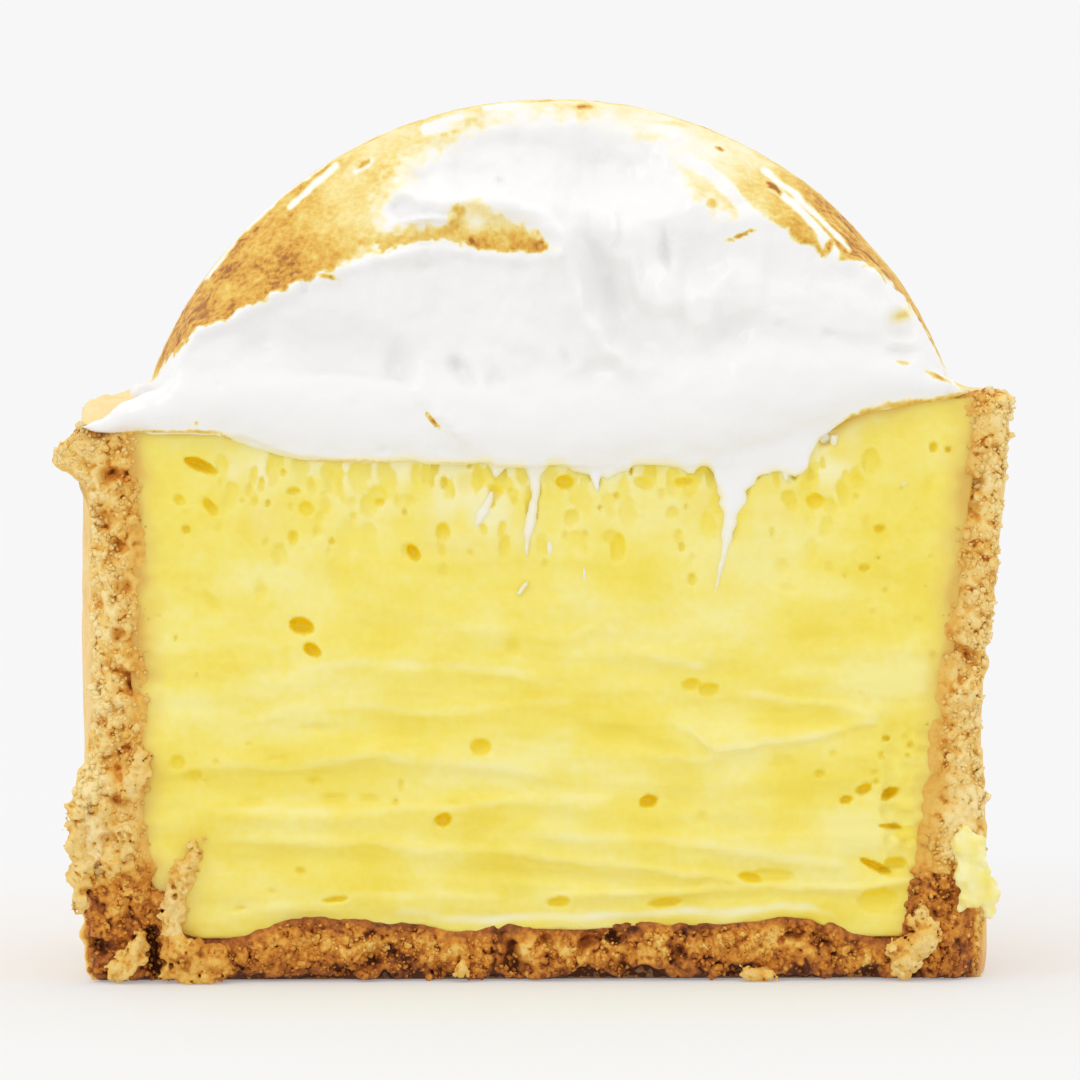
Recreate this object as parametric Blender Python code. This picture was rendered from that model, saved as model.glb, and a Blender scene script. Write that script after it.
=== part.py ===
"""A deep round lemon meringue tart, cut a little in front of its middle and standing on its base.

Blender 4.5 script, in metres, +Z up. Three solids make the tart, as a baker would stack them:
a short-pastry shell, the lemon filling poured into it, and a torched meringue dome on top.
The origin is the centre of the whole tart on the face that it stands on. The knife came down in
a plane across X, at CUT_AHEAD in front of that centre, so the cut face looks towards -Y.
"""

import math

import bmesh
import bpy
from mathutils import Vector, noise

MM = 0.001

# The pastry shell, baked in a deep ring with a little draft.
SHELL_TOP_RADIUS = 40.0 * MM
SHELL_BASE_RADIUS = 38.9 * MM
SHELL_HEIGHT = 49.5 * MM
SHELL_LEAN = 0.018
WALL_THICKNESS = 4.8 * MM
BASE_THICKNESS = 4.6 * MM
BASE_TOP = [  # the uneven top of the base, as (x, height) along the cut
    (x * MM, z * MM)
    for x, z in ((-26, 4.2), (-18, 5.0), (-8, 5.0), (-3.5, 4.1), (9, 5.0), (17, 5.8), (22, 5), (28, 4))
]
RIM_ROUND = 1.1 * MM
FOOT_ROUND = 1.0 * MM
INNER_FILLET = 3.2 * MM
RIM_WAVE = 0.35 * MM

# The cut. A boolean never meets a neighbour exactly, so the layers stand GAP apart.
CUT_AHEAD = 12.0 * MM
GAP = 0.3 * MM
CUTTER_SIDE = 46.0 * MM
CUTTER_FRONT = -60.0 * MM
CUTTER_TOP = 80.0 * MM
CUTTER_BELOW = 4.0 * MM

# The corner of the rim that the knife pushed down and out on the left, and the loosened chunk.
CORNER = Vector((-36.6, -12.0, 48.5)) * MM
CORNER_REACH = 8.5 * MM
CORNER_DROP = 3.1 * MM
CORNER_LIP = Vector((-39.5, -12.0, 45.2)) * MM
CORNER_LIP_REACH = 3.4 * MM
CORNER_LIP_OUT = 2.9 * MM
CHUNK = Vector((-38.6, -12.0, 14.0)) * MM
CHUNK_REACH = 6.0 * MM
CHUNK_OUT = 1.9 * MM
CHUNK_FOOT = Vector((-38.0, -12.0, 4.0)) * MM
CHUNK_FOOT_OUT = 0.9 * MM

# The lemon filling, dished on top: its height by distance from the axis. On the left, where
# the shell sank, it rises only FILLING_LEFT_SHARE of the way up the wall.
FILLING_MIDDLE = 43.4 * MM
FILLING_EDGE = 49.0 * MM
FILLING_DISH = [
    (r * MM, z * MM) for r, z in ((0, 43.4), (18.5, 43.4), (24, 44.5), (30, 47.9), (35, 49.0))
]
FILLING_LEFT_SHARE = 0.42

# The meringue: a spatula-smoothed part of a sphere.
DOME_RADIUS = 36.6 * MM
DOME_TOP = 74.6 * MM
DOME_CENTRE = DOME_TOP - DOME_RADIUS
DOME_FOOT_RADIUS = 34.6 * MM
DOME_ASIDE = 0.4 * MM

TURN_STEPS = 60
BASE_STEPS = 8

CRUMB = (0.72, 0.42, 0.17)
LEMON = (0.87, 0.73, 0.14)
WHITE = (0.90, 0.88, 0.85)


def bump(distance, reach):
    """1 at no distance, falling smoothly to nothing a little past reach."""
    return math.exp(-((distance / reach) ** 2))


def between(points, x):
    """The height at x of a smooth line through (x, height) points, level past both ends."""
    if x <= points[0][0]:
        return points[0][1]
    for (x0, h0), (x1, h1) in zip(points, points[1:]):
        if x <= x1:
            share = (x - x0) / (x1 - x0)
            return h0 + (h1 - h0) * share * share * (3 - 2 * share)
    return points[-1][1]


def from_line(points, x, z):
    """The distance from (x, z) to a line through these points."""
    spot = Vector((x, z))
    nearest = math.inf
    for start, end in zip(points, points[1:]):
        along = Vector(end) - Vector(start)
        share = min(1.0, max(0.0, (spot - Vector(start)).dot(along) / along.length_squared))
        nearest = min(nearest, (spot - Vector(start) - along * share).length)
    return nearest


def material(name, colour, roughness):
    made = bpy.data.materials.new(name)
    made.use_nodes = True
    shader = made.node_tree.nodes["Principled BSDF"]
    shader.inputs["Base Color"].default_value = (*colour, 1)
    shader.inputs["Roughness"].default_value = roughness
    shader.inputs["Metallic"].default_value = 0
    return made


def as_object(name, mesh_maker, finish=None):
    """A mesh object, sheared like the whole tart: its wall leans a little to the right."""
    mesh = bpy.data.meshes.new(name)
    shape = bmesh.new()
    mesh_maker(shape)
    for vert in shape.verts:
        vert.co.x += SHELL_LEAN * min(vert.co.z, SHELL_HEIGHT)
    bmesh.ops.recalc_face_normals(shape, faces=shape.faces)
    shape.to_mesh(mesh)
    shape.free()
    made = bpy.data.objects.new(name, mesh)
    bpy.context.scene.collection.objects.link(made)
    if finish:
        mesh.materials.append(finish)
        mesh.shade_smooth()
        mesh.set_sharp_from_angle(angle=math.radians(40))
    return made


def helper(made):
    made.hide_render = True
    made.display_type = "WIRE"
    return made


def boolean(target, other, operation):
    modifier = target.modifiers.new(other.name, "BOOLEAN")
    modifier.operation = operation
    modifier.solver = "EXACT"
    modifier.object = helper(other)


def turned(shape, profile):
    """A solid turned about Z from (radius, height) points that start and end on the axis."""
    ring = [shape.verts.new((radius, 0, height)) for radius, height in profile]
    edges = [shape.edges.new(pair) for pair in zip(ring, ring[1:])]
    bmesh.ops.spin(
        shape, geom=ring + edges, cent=(0, 0, 0), axis=(0, 0, 1),
        angle=math.tau, steps=TURN_STEPS, use_merge=True,
    )
    bmesh.ops.remove_doubles(shape, verts=shape.verts, dist=0.01 * MM)


def arc(centre, radius, start, end, steps):
    """Points on a circle in the (radius, height) plane, from start to end in degrees."""
    angles = [math.radians(start + (end - start) * i / steps) for i in range(steps + 1)]
    return [(centre[0] + radius * math.cos(a), centre[1] + radius * math.sin(a)) for a in angles]


def straight(start, end, steps):
    """Points from just after start to just before end."""
    return [
        (start[0] + (end[0] - start[0]) * i / steps, start[1] + (end[1] - start[1]) * i / steps)
        for i in range(1, steps)
    ]


def inner_radius(height):
    """The shell's inner radius, which follows the draft of its outside."""
    share = height / SHELL_HEIGHT
    return SHELL_BASE_RADIUS + (SHELL_TOP_RADIUS - SHELL_BASE_RADIUS) * share - WALL_THICKNESS


def knife_marks(spot):
    """How the knife's drag bends the pastry near the cut: one corner sinks, one chunk swells."""
    moved = spot.copy()
    sunk = bump((spot - CORNER).length, CORNER_REACH)
    moved.z -= CORNER_DROP * sunk
    moved.x -= CORNER_LIP_OUT * bump((spot - CORNER_LIP).length, CORNER_LIP_REACH)
    moved.x -= CHUNK_OUT * bump((spot - CHUNK).length, CHUNK_REACH)
    moved.x -= CHUNK_FOOT_OUT * bump((spot - CHUNK_FOOT).length, CHUNK_REACH)
    return moved


def cutter(name, face, cell):
    """A block in front of the cut. Its back face stands at y = face(x, z) and has that relief."""
    def build(shape):
        across = round(2 * CUTTER_SIDE / cell)
        up = round((CUTTER_TOP + CUTTER_BELOW) / cell)
        bmesh.ops.create_grid(shape, x_segments=across, y_segments=up, size=0.5)
        for vert in shape.verts:
            x = vert.co.x * 2 * CUTTER_SIDE
            z = (vert.co.y + 0.5) * (CUTTER_TOP + CUTTER_BELOW) - CUTTER_BELOW
            vert.co = (x, face(x, z), z)
        pulled = bmesh.ops.extrude_face_region(shape, geom=shape.faces[:])
        for vert in pulled["geom"]:
            if isinstance(vert, bmesh.types.BMVert):
                vert.co.y = CUTTER_FRONT
    return as_object(name, build)


# ---------------------------------------------------------------- pastry shell


def crumbly(x, z):
    """The broken face of short pastry: coarse lumps, with finer ones on them."""
    spot = Vector((x, 0, z)) / MM
    lumps = noise.noise(spot * 0.33) * 0.75 + noise.noise(spot * 0.85) * 0.5
    chunk = bump((Vector((x, CHUNK.y, z)) - CHUNK).length, CHUNK_REACH * 0.8)
    return -CUT_AHEAD + lumps * MM - 1.1 * MM * chunk


def shell_profile():
    foot = (SHELL_BASE_RADIUS - FOOT_ROUND, FOOT_ROUND)
    rim_out = (SHELL_TOP_RADIUS - RIM_ROUND, SHELL_HEIGHT - RIM_ROUND)
    rim_in = (inner_radius(SHELL_HEIGHT) + RIM_ROUND, SHELL_HEIGHT - RIM_ROUND)
    floor_corner = (
        inner_radius(BASE_THICKNESS + INNER_FILLET) - INNER_FILLET,
        BASE_THICKNESS + INNER_FILLET,
    )
    points = [(0, 0)]
    points += straight((0, 0), (foot[0], 0), 4)
    points += arc(foot, FOOT_ROUND, -90, 0, 2)
    points += straight(points[-1], (SHELL_TOP_RADIUS, rim_out[1]), 9)
    points += arc(rim_out, RIM_ROUND, 0, 90, 2)
    points += arc(rim_in, RIM_ROUND, 90, 180, 2)
    points += straight(points[-1], (floor_corner[0] + INNER_FILLET, floor_corner[1]), 8)
    points += arc(floor_corner, INNER_FILLET, 0, -90, 3)
    points += straight(points[-1], (0, BASE_THICKNESS), BASE_STEPS)
    return points + [(0, BASE_THICKNESS)]


def on_uneven_base(vert, level):
    """Move a point of a flat surface at this level to the uneven top of the base."""
    if abs(vert.co.z - level) < 0.01 * MM:
        vert.co.z += between(BASE_TOP, vert.co.x) - BASE_THICKNESS


def shell_shape(shape):
    turned(shape, shell_profile())
    for vert in shape.verts:
        on_uneven_base(vert, BASE_THICKNESS)
        turn = math.atan2(vert.co.y, vert.co.x)
        near_rim = max(0.0, (vert.co.z / SHELL_HEIGHT - 0.8) / 0.2)
        wave = math.sin(3 * turn + 0.6) + 0.6 * math.sin(7 * turn + 2.0)
        vert.co.z += RIM_WAVE * near_rim * wave
        vert.co = knife_marks(vert.co)


def pastry_shell():
    shell = as_object("pastry_shell", shell_shape, material("short_pastry", CRUMB, 0.8))
    boolean(shell, cutter("shell_cutter", crumbly, 1.7 * MM), "DIFFERENCE")


# --------------------------------------------------------------- lemon filling


def filling_top(x, y):
    """The dished top of the filling. It is lower where the left corner of the shell sank."""
    sunk = bump((Vector((x, y, CORNER.z)) - CORNER).length, 2 * CORNER_REACH)
    rise = between(FILLING_DISH, math.hypot(x, y)) - FILLING_MIDDLE
    return FILLING_MIDDLE + rise * (1 - (1 - FILLING_LEFT_SHARE) * sunk)


def smeared(x, z):
    """The cut face of the filling: shallow, level strokes of the knife."""
    spot = Vector((x * 0.25, 0, z)) / MM
    return -CUT_AHEAD + noise.noise(spot * 0.22) * 0.35 * MM + noise.noise(spot * 0.6) * 0.12 * MM


def filling_shape(shape):
    bottom = BASE_THICKNESS + GAP
    corner = (
        inner_radius(BASE_THICKNESS + INNER_FILLET) - GAP - INNER_FILLET,
        bottom + INNER_FILLET,
    )
    top_radius = inner_radius(FILLING_EDGE) - GAP
    points = [(0, bottom)]
    points += straight((0, bottom), (corner[0], bottom), BASE_STEPS)
    points += arc(corner, INNER_FILLET, -90, 0, 3)
    points += straight(points[-1], (top_radius, FILLING_EDGE), 6)
    points += [(top_radius, FILLING_EDGE)]
    points += straight(points[-1], (0, FILLING_EDGE), 8)
    turned(shape, points + [(0, FILLING_EDGE)])
    for vert in shape.verts:
        x, y, height = vert.co
        on_uneven_base(vert, bottom)
        if height > FILLING_EDGE - 0.01 * MM:
            vert.co.z = filling_top(x, y)
        vert.co.x = knife_marks(vert.co).x


def lemon_filling():
    filling = as_object("lemon_filling", filling_shape, material("lemon_curd", LEMON, 0.35))
    boolean(filling, cutter("filling_cutter", smeared, 2.3 * MM), "DIFFERENCE")


# -------------------------------------------------------------- meringue dome

# The torched skin is dragged over the cut. Its torn lower edge, seen from the front, stands at
# these (degrees anticlockwise from the right, distance from the dome's centre).
SKIN_EDGE = [
    (turn, far * MM)
    for turn, far in (
        (20, 35.6), (32, 35.0), (38, 34.0), (45, 32.0), (58, 30.6), (66, 29.0), (78, 24.5),
        (89, 22.8), (110, 23.7), (119, 26.2), (130, 28.5), (144, 32.1), (156, 35.2),
    )
]
SKIN_BACK = 7.0 * MM  # how far behind the cut the skin meets the dome

# Hollows torn into the cut: (x, height), (half width, half height), depth.
HOLLOWS = [
    ((1.0 * MM, 68.0 * MM), (10.0 * MM, 4.6 * MM), 2.6 * MM),
    ((9.5 * MM, 59.0 * MM), (5.5 * MM, 6.5 * MM), 2.4 * MM),
    ((-17.0 * MM, 54.5 * MM), (12.0 * MM, 3.6 * MM), 1.3 * MM),
    ((25.0 * MM, 57.0 * MM), (7.0 * MM, 3.0 * MM), 0.9 * MM),
]

# The S-shaped ridge between the smooth mass on the left and the torn one on the right, as
# (x, height).
RIDGE = [
    (x * MM, z * MM)
    for x, z in ((12, 50), (7.5, 50.8), (5, 53.5), (3, 57.5), (0, 62.5), (-5, 64.5), (-11, 66))
]
RIDGE_REACH = 1.8 * MM
RIDGE_OUT = 1.2 * MM

# The fold that the knife dragged along the filling's top edge and over the rim at both ends:
# x, middle height, half height, how far ahead of the cut, half depth.
FOLD = [
    (-39.3, 47.3, 0.3, -1.4, 1.0), (-36.5, 47.85, 0.75, -1.2, 2.1), (-33, 48.0, 1.3, -0.2, 2.2),
    (-26, 48.5, 2.2, 0.3, 2.1), (-20.5, 48.1, 3.0, 0.3, 2.2), (-12, 47.3, 3.1, 0.3, 2.2),
    (0, 47.0, 3.1, 0.4, 2.2), (11, 47.2, 3.2, 0.6, 2.2), (21, 48.9, 3.7, 0.4, 2.2),
    (27, 50.8, 2.3, 0.2, 2.1), (32.5, 51.1, 1.25, -0.6, 2.2), (37.4, 50.3, 0.3, -1.6, 1.2),
]
FOLD_STEPS = 30
FOLD_SIDES = 12
SWELL_OUT = 2.0 * MM  # the face swells towards the fold, which lies half sunk in it
SWELL_REACH = 5.0 * MM

# The drips that the knife drew down over the filling: top, tip, half width at the top.
DRIPS = [
    (Vector((16.2, -13.2, 47.2)) * MM, Vector((14.2, -12.75, 32.4)) * MM, 3.0 * MM),
    (Vector((-0.8, -13.2, 47.0)) * MM, Vector((-1.8, -12.75, 36.0)) * MM, 1.7 * MM),
]
DRIP_HALF_DEPTH = 0.4 * MM


def torn(x, z):
    """The cut face of the meringue: hollows, a ridge and the torched skin curving back."""
    from_centre = math.hypot(x - DOME_ASIDE, z - DOME_CENTRE)
    turn = math.degrees(math.atan2(z - DOME_CENTRE, x - DOME_ASIDE))
    edge = between(SKIN_EDGE, turn)
    over_edge = max(0.0, from_centre - edge) / max(DOME_RADIUS - edge, 2 * MM)
    depth = -CUT_AHEAD + SKIN_BACK * min(over_edge, 1.5) ** 1.6
    for (x0, z0), (wide, high), deep in HOLLOWS:
        depth += deep * bump(math.hypot((x - x0) / wide, (z - z0) / high), 1.0)
    depth -= RIDGE_OUT * bump(from_line(RIDGE, x, z), RIDGE_REACH)
    fold = between([(row[0], row[1]) for row in FOLD], x / MM) * MM
    depth -= SWELL_OUT * bump(z - fold, SWELL_REACH)
    spot = Vector((x, 0, z)) / MM
    return depth + noise.noise(spot * 0.16) * 0.5 * MM + noise.noise(spot * 0.4) * 0.25 * MM


def dome_shape(shape):
    foot_angle = math.degrees(math.acos(DOME_FOOT_RADIUS / DOME_RADIUS))
    dome = arc((0, DOME_CENTRE), DOME_RADIUS, foot_angle, 90, 12)
    dome[-1] = (0, DOME_TOP)
    bottom = straight((0, FILLING_EDGE), (DOME_FOOT_RADIUS, FILLING_EDGE), 8)
    turned(shape, [(0, FILLING_EDGE)] + bottom + [(DOME_FOOT_RADIUS, FILLING_EDGE)] + dome)
    for vert in shape.verts:
        x, y, height = vert.co
        if height < FILLING_EDGE + 0.01 * MM:
            vert.co.z = filling_top(x, y) + GAP
        vert.co.x += DOME_ASIDE


def fold_shape(shape):
    """A closed tube of changing oval section along the fold's line."""
    rings = []
    for step in range(FOLD_STEPS + 1):
        x = FOLD[0][0] + (FOLD[-1][0] - FOLD[0][0]) * step / FOLD_STEPS
        middle, high, ahead, deep = (
            between([(row[0], row[column]) for row in FOLD], x) for column in (1, 2, 3, 4)
        )
        ring = []
        for side in range(FOLD_SIDES):
            angle = math.tau * side / FOLD_SIDES
            y = -CUT_AHEAD / MM - ahead + deep * math.cos(angle)
            ring.append(shape.verts.new(Vector((x, y, middle + high * math.sin(angle))) * MM))
        rings.append(ring)
    for ring, following in zip(rings, rings[1:]):
        for side in range(FOLD_SIDES):
            after = (side + 1) % FOLD_SIDES
            shape.faces.new((ring[side], ring[after], following[after], following[side]))
    shape.faces.new(rings[0])
    shape.faces.new(rings[-1])


def drip_shape(top, tip, half_width):
    """A thin, flattened cone that hangs in front of the filling's cut face."""
    def build(shape):
        length = (top - tip).length
        bmesh.ops.create_cone(
            shape, cap_ends=True, segments=10, radius1=0.25 * MM, radius2=half_width, depth=length
        )
        for vert in shape.verts:
            along = (top - tip) * vert.co.z / length
            flat = vert.co.y * DRIP_HALF_DEPTH / half_width
            vert.co = (top + tip) / 2 + along + Vector((vert.co.x, flat, 0))
    return build


def meringue_dome():
    dome = as_object("meringue", dome_shape, material("meringue", WHITE, 0.45))
    boolean(dome, cutter("meringue_cutter", torn, 1.7 * MM), "DIFFERENCE")
    boolean(dome, as_object("fold", fold_shape), "UNION")
    for number, drip in enumerate(DRIPS):
        boolean(dome, as_object(f"drip_{number}", drip_shape(*drip)), "UNION")


def clear_scene():
    for old in list(bpy.data.objects):
        bpy.data.objects.remove(old)


clear_scene()
pastry_shell()
lemon_filling()
meringue_dome()
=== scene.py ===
"""Half of a deep lemon meringue tart, dressed for its portrait. Blender 4.5, metres, +Z up.

The cut face looks towards -Y. Each section below makes one piece or one group of like pieces, in
the order a baker would: the pastry shell and its crumbs, the lemon filling, then the meringue.
"""
import math

import bmesh
import bpy
import numpy as np
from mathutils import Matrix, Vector


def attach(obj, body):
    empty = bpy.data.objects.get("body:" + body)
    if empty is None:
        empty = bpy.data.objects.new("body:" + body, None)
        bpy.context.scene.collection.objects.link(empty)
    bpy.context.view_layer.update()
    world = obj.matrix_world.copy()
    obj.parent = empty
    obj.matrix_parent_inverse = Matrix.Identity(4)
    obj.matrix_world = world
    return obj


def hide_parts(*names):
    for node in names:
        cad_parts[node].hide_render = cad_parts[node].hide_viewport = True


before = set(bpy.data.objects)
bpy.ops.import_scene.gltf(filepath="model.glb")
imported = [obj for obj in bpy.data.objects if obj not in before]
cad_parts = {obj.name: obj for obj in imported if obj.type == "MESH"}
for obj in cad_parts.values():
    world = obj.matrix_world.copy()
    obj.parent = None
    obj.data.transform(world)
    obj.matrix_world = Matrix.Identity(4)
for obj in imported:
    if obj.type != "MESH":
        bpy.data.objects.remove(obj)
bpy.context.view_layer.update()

MM = 0.001
CAMERA_AT = Vector((-10.3, -412.0, 51.0)) * MM
LOOKS_AT = Vector((0.08, -12.0, 37.3)) * MM
LENS_MM = 158.7
WHITE_CARD = (0.93, 0.93, 0.94)
# How bright the card is along an axis: the axis, from and to where it changes, and both levels.
CARD_LEVELS = [("Z", 0.25, 0.9, 1.0, 1.32), ("Y", -0.7, 0.1, 0.92, 1.0)]
TABLE_WHITE = (0.58, 0.58, 0.585)
TABLE_FAR = 1.02
TABLE_GLOW = 0.285
TABLE_GLOW_TINT = (1.0, 0.992, 0.982, 1)
SOFT_BOX_AT = Vector((-380, -360, 470)) * MM
SOFT_BOX_SIZE = 170 * MM
SOFT_BOX_WATTS = 0.28
SOFT_BOX_AIM = Vector((0, 0, 35)) * MM


def stand(name, data):
    """A new object in the scene."""
    made = bpy.data.objects.new(name, data)
    bpy.context.scene.collection.objects.link(made)
    return made


lens = bpy.data.cameras.new("lens")
lens.lens = LENS_MM
lens.sensor_width = 36.0
lens.clip_start = 0.01
lens.clip_end = 50.0
camera = stand("camera", lens)
camera.location = CAMERA_AT
camera.rotation_euler = (LOOKS_AT - CAMERA_AT).to_track_quat("-Z", "Y").to_euler()
bpy.context.scene.camera = camera
bpy.context.scene.view_settings.view_transform = "Standard"
bpy.context.scene.view_settings.look = "None"


class Wire:
    """A socket's value in one finish. Python's operators on it add Math nodes."""

    def __init__(self, finish, socket):
        self.finish = finish
        self.socket = socket

    def maths(self, operation, first, second):
        return self.finish.node("Math", {"operation": operation}, {0: first, 1: second})

    def __add__(self, other):
        return self.maths("ADD", self, other)

    def __sub__(self, other):
        return self.maths("SUBTRACT", self, other)

    def __rsub__(self, other):
        return self.maths("SUBTRACT", other, self)

    def __mul__(self, other):
        return self.maths("MULTIPLY", self, other)

    def __truediv__(self, other):
        return self.maths("DIVIDE", self, other)

    def __pow__(self, other):
        return self.maths("POWER", self, other)

    __radd__ = __add__
    __rmul__ = __mul__


class Finish:
    """One surface finish: a material whose Principled shader takes colours, gloss and bumps."""

    def __init__(self, name, **constants):
        self.material = bpy.data.materials.new(name)
        self.material.use_nodes = True
        self.tree = self.material.node_tree
        self.shader = self.tree.nodes["Principled BSDF"]
        for socket, value in constants.items():
            self.shader.inputs[socket.replace("_", " ")].default_value = value

    def feed(self, socket, value):
        if isinstance(value, Wire):
            self.tree.links.new(value.socket, socket)
        else:
            socket.default_value = value

    def node(self, kind, settings=None, sockets=None, out=0):
        made = self.tree.nodes.new("ShaderNode" + kind)
        for name, value in (settings or {}).items():
            if name == "stops":
                self.set_stops(made.color_ramp, value)
            else:
                setattr(made, name, value)
        for name, value in (sockets or {}).items():
            self.feed(made.inputs[name], value)
        return Wire(self, made.outputs[out])

    @staticmethod
    def set_stops(ramp, stops):
        while len(ramp.elements) < len(stops):
            ramp.elements.new(0.5)
        for element, (place, colour) in zip(ramp.elements, stops):
            element.position = place
            element.color = (*colour, 1)

    def ramp(self, value, stops):
        return self.node("ValToRGB", {"stops": stops}, {0: value})

    def blend(self, share, first, second):
        """A colour between two colours, by share."""
        first = (*first, 1) if isinstance(first, tuple) else first
        second = (*second, 1) if isinstance(second, tuple) else second
        return self.node("Mix", {"data_type": "RGBA"}, {0: share, 6: first, 7: second}, out=2)

    def place(self, stretch=(1, 1, 1)):
        """The surface's own place in millimetres, stretched."""
        where = self.node("TexCoord", out=3)
        return self.node("Mapping", None, {"Vector": where, "Scale": [s * 1000 for s in stretch]})

    def noise(self, size_mm, detail=2.0, stretch=(1, 1, 1), distortion=0.0):
        """Smooth noise from 0 to 1 whose lumps are about this size."""
        return self.node(
            "TexNoise", None,
            {"Vector": self.place(stretch), "Scale": 1 / size_mm, "Detail": detail,
             "Distortion": distortion},
        )

    def attribute(self, name):
        """What the mesh stores at each point under this name."""
        return self.node("Attribute", {"attribute_name": name}, out=2)

    def between(self, value, low, high):
        """0 where value is at or under low, 1 at or over high."""
        return self.node(
            "MapRange", {"clamp": True},
            {"Value": value, "From Min": low, "From Max": high, "To Min": 0.0, "To Max": 1.0},
        )

    def bumps(self, height, depth_mm):
        return self.node(
            "Bump", None, {"Height": height, "Distance": depth_mm * MM, "Strength": 1.0}
        )

    def show(self, **sockets):
        """Feeds the shader: Base_Color=..., Roughness=..., Normal=..."""
        for name, value in sockets.items():
            self.feed(self.shader.inputs[name.replace("_", " ")], value)
        return self.material


def table_top():
    cloth = Finish("table_white", Roughness=1.0, Specular_IOR_Level=0.0)
    away = cloth.node("VectorMath", {"operation": "LENGTH"}, {0: cloth.place()}, out=1)
    far_white = tuple(part * TABLE_FAR for part in TABLE_WHITE)
    white = cloth.blend(cloth.between(away, 100, 1000), TABLE_WHITE, far_white)
    mesh = bpy.data.meshes.new("table_top")
    shape = bmesh.new()
    bmesh.ops.create_grid(shape, x_segments=2, y_segments=2, size=4.0)
    shape.to_mesh(mesh)
    shape.free()
    cloth.shader.inputs["Emission Color"].default_value = TABLE_GLOW_TINT
    cloth.shader.inputs["Emission Strength"].default_value = TABLE_GLOW
    mesh.materials.append(cloth.show(Base_Color=white))
    table = stand("table_top", mesh)


def soft_box():
    """A square soft light that faces the tart's middle."""
    light = bpy.data.lights.new("soft_box_left", "AREA")
    light.shape = "SQUARE"
    light.size = SOFT_BOX_SIZE
    light.energy = SOFT_BOX_WATTS
    lamp = stand("soft_box_left", light)
    lamp.location = SOFT_BOX_AT
    lamp.rotation_euler = (SOFT_BOX_AIM - SOFT_BOX_AT).to_track_quat("-Z", "Y").to_euler()


def white_room():
    """White card all round: brighter overhead, and a little dimmer on the camera's side."""
    world = bpy.data.worlds.new("white_card")
    world.use_nodes = True
    tree = world.node_tree
    card = tree.nodes["Background"]
    card.inputs["Color"].default_value = (*WHITE_CARD, 1)
    way = tree.nodes.new("ShaderNodeTexCoord")
    parts = tree.nodes.new("ShaderNodeSeparateXYZ")
    tree.links.new(way.outputs["Generated"], parts.inputs[0])
    levels = []
    for axis, *ends in CARD_LEVELS:
        level = tree.nodes.new("ShaderNodeMapRange")
        level.interpolation_type = "SMOOTHSTEP"
        tree.links.new(parts.outputs[axis], level.inputs["Value"])
        for socket, value in zip(("From Min", "From Max", "To Min", "To Max"), ends):
            level.inputs[socket].default_value = value
        levels.append(level.outputs["Result"])
    both = tree.nodes.new("ShaderNodeMath")
    both.operation = "MULTIPLY"
    for socket, level in zip(both.inputs, levels):
        tree.links.new(level, socket)
    tree.links.new(both.outputs[0], card.inputs["Strength"])
    bpy.context.scene.world = world


white_room()
table_top()
soft_box()

# =============================================================================== pastry shell
# Short pastry pressed into a deep ring and baked blind. Outside it is smooth and golden from the
# ring; the knife broke it into coarse crumbs where it was cut, and pushed one corner down.
CUT = -12.0
SHELL_TOP_RADIUS = 40.0
SHELL_BASE_RADIUS = 38.9
SHELL_HEIGHT = 49.5
WALL_THICKNESS = 4.8
BASE_THICKNESS = 4.6
LEAN = 0.018
BASE_TOP = [
    (-30, 4.4), (-27.6, 3.7), (-25, 4.0), (-23.5, 4.8), (-21, 5.8), (-19.5, 5.95), (-15.8, 5.7),
    (-13, 5.3), (-10.2, 5.5), (-7.4, 4.9), (-4.7, 4.75), (-1.9, 5.1), (3, 5.0), (8.9, 5.3),
    (14.2, 5.3), (18.5, 5.6), (20.8, 6.0), (22.6, 5.8), (24.3, 5.2), (26.8, 4.2), (29, 3.5),
]
CORNER = (-36.6, CUT, 48.5)
CORNER_REACH = 8.5
CORNER_DROP = 3.1

draw = np.random.default_rng(41)
SHUFFLED = draw.permutation(256)
SLOPES = draw.normal(size=(256, 3))
SLOPES /= np.linalg.norm(SLOPES, axis=1, keepdims=True)
SLOPES = SLOPES.astype(np.float32)


def rough(x, y, z, size, seed=0):
    """Smooth noise, about -1 to 1, whose lumps are about this many mm across."""
    place = [np.asarray(v, dtype=np.float32) / size + 17.3 * seed for v in (x, y, z)]
    place = np.broadcast_arrays(*place)
    whole = [np.floor(v).astype(np.int32) for v in place]
    part = [v - w for v, w in zip(place, whole)]
    ease = [p * p * p * (p * (p * 6 - 15) + 10) for p in part]
    total = np.zeros(place[0].shape, dtype=np.float32)
    for corner in range(8):
        step = (corner & 1, corner >> 1 & 1, corner >> 2 & 1)
        key = SHUFFLED[(whole[0] + step[0]) & 255]
        key = SHUFFLED[(key + whole[1] + step[1]) & 255]
        key = SHUFFLED[(key + whole[2] + step[2]) & 255]
        slope = SLOPES[key]
        tilt = sum(slope[..., i] * (part[i] - step[i]) for i in range(3))
        weight = 1.0
        for i in range(3):
            weight = weight * (ease[i] if step[i] else 1 - ease[i])
        total += weight * tilt
    return total * 1.7


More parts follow.
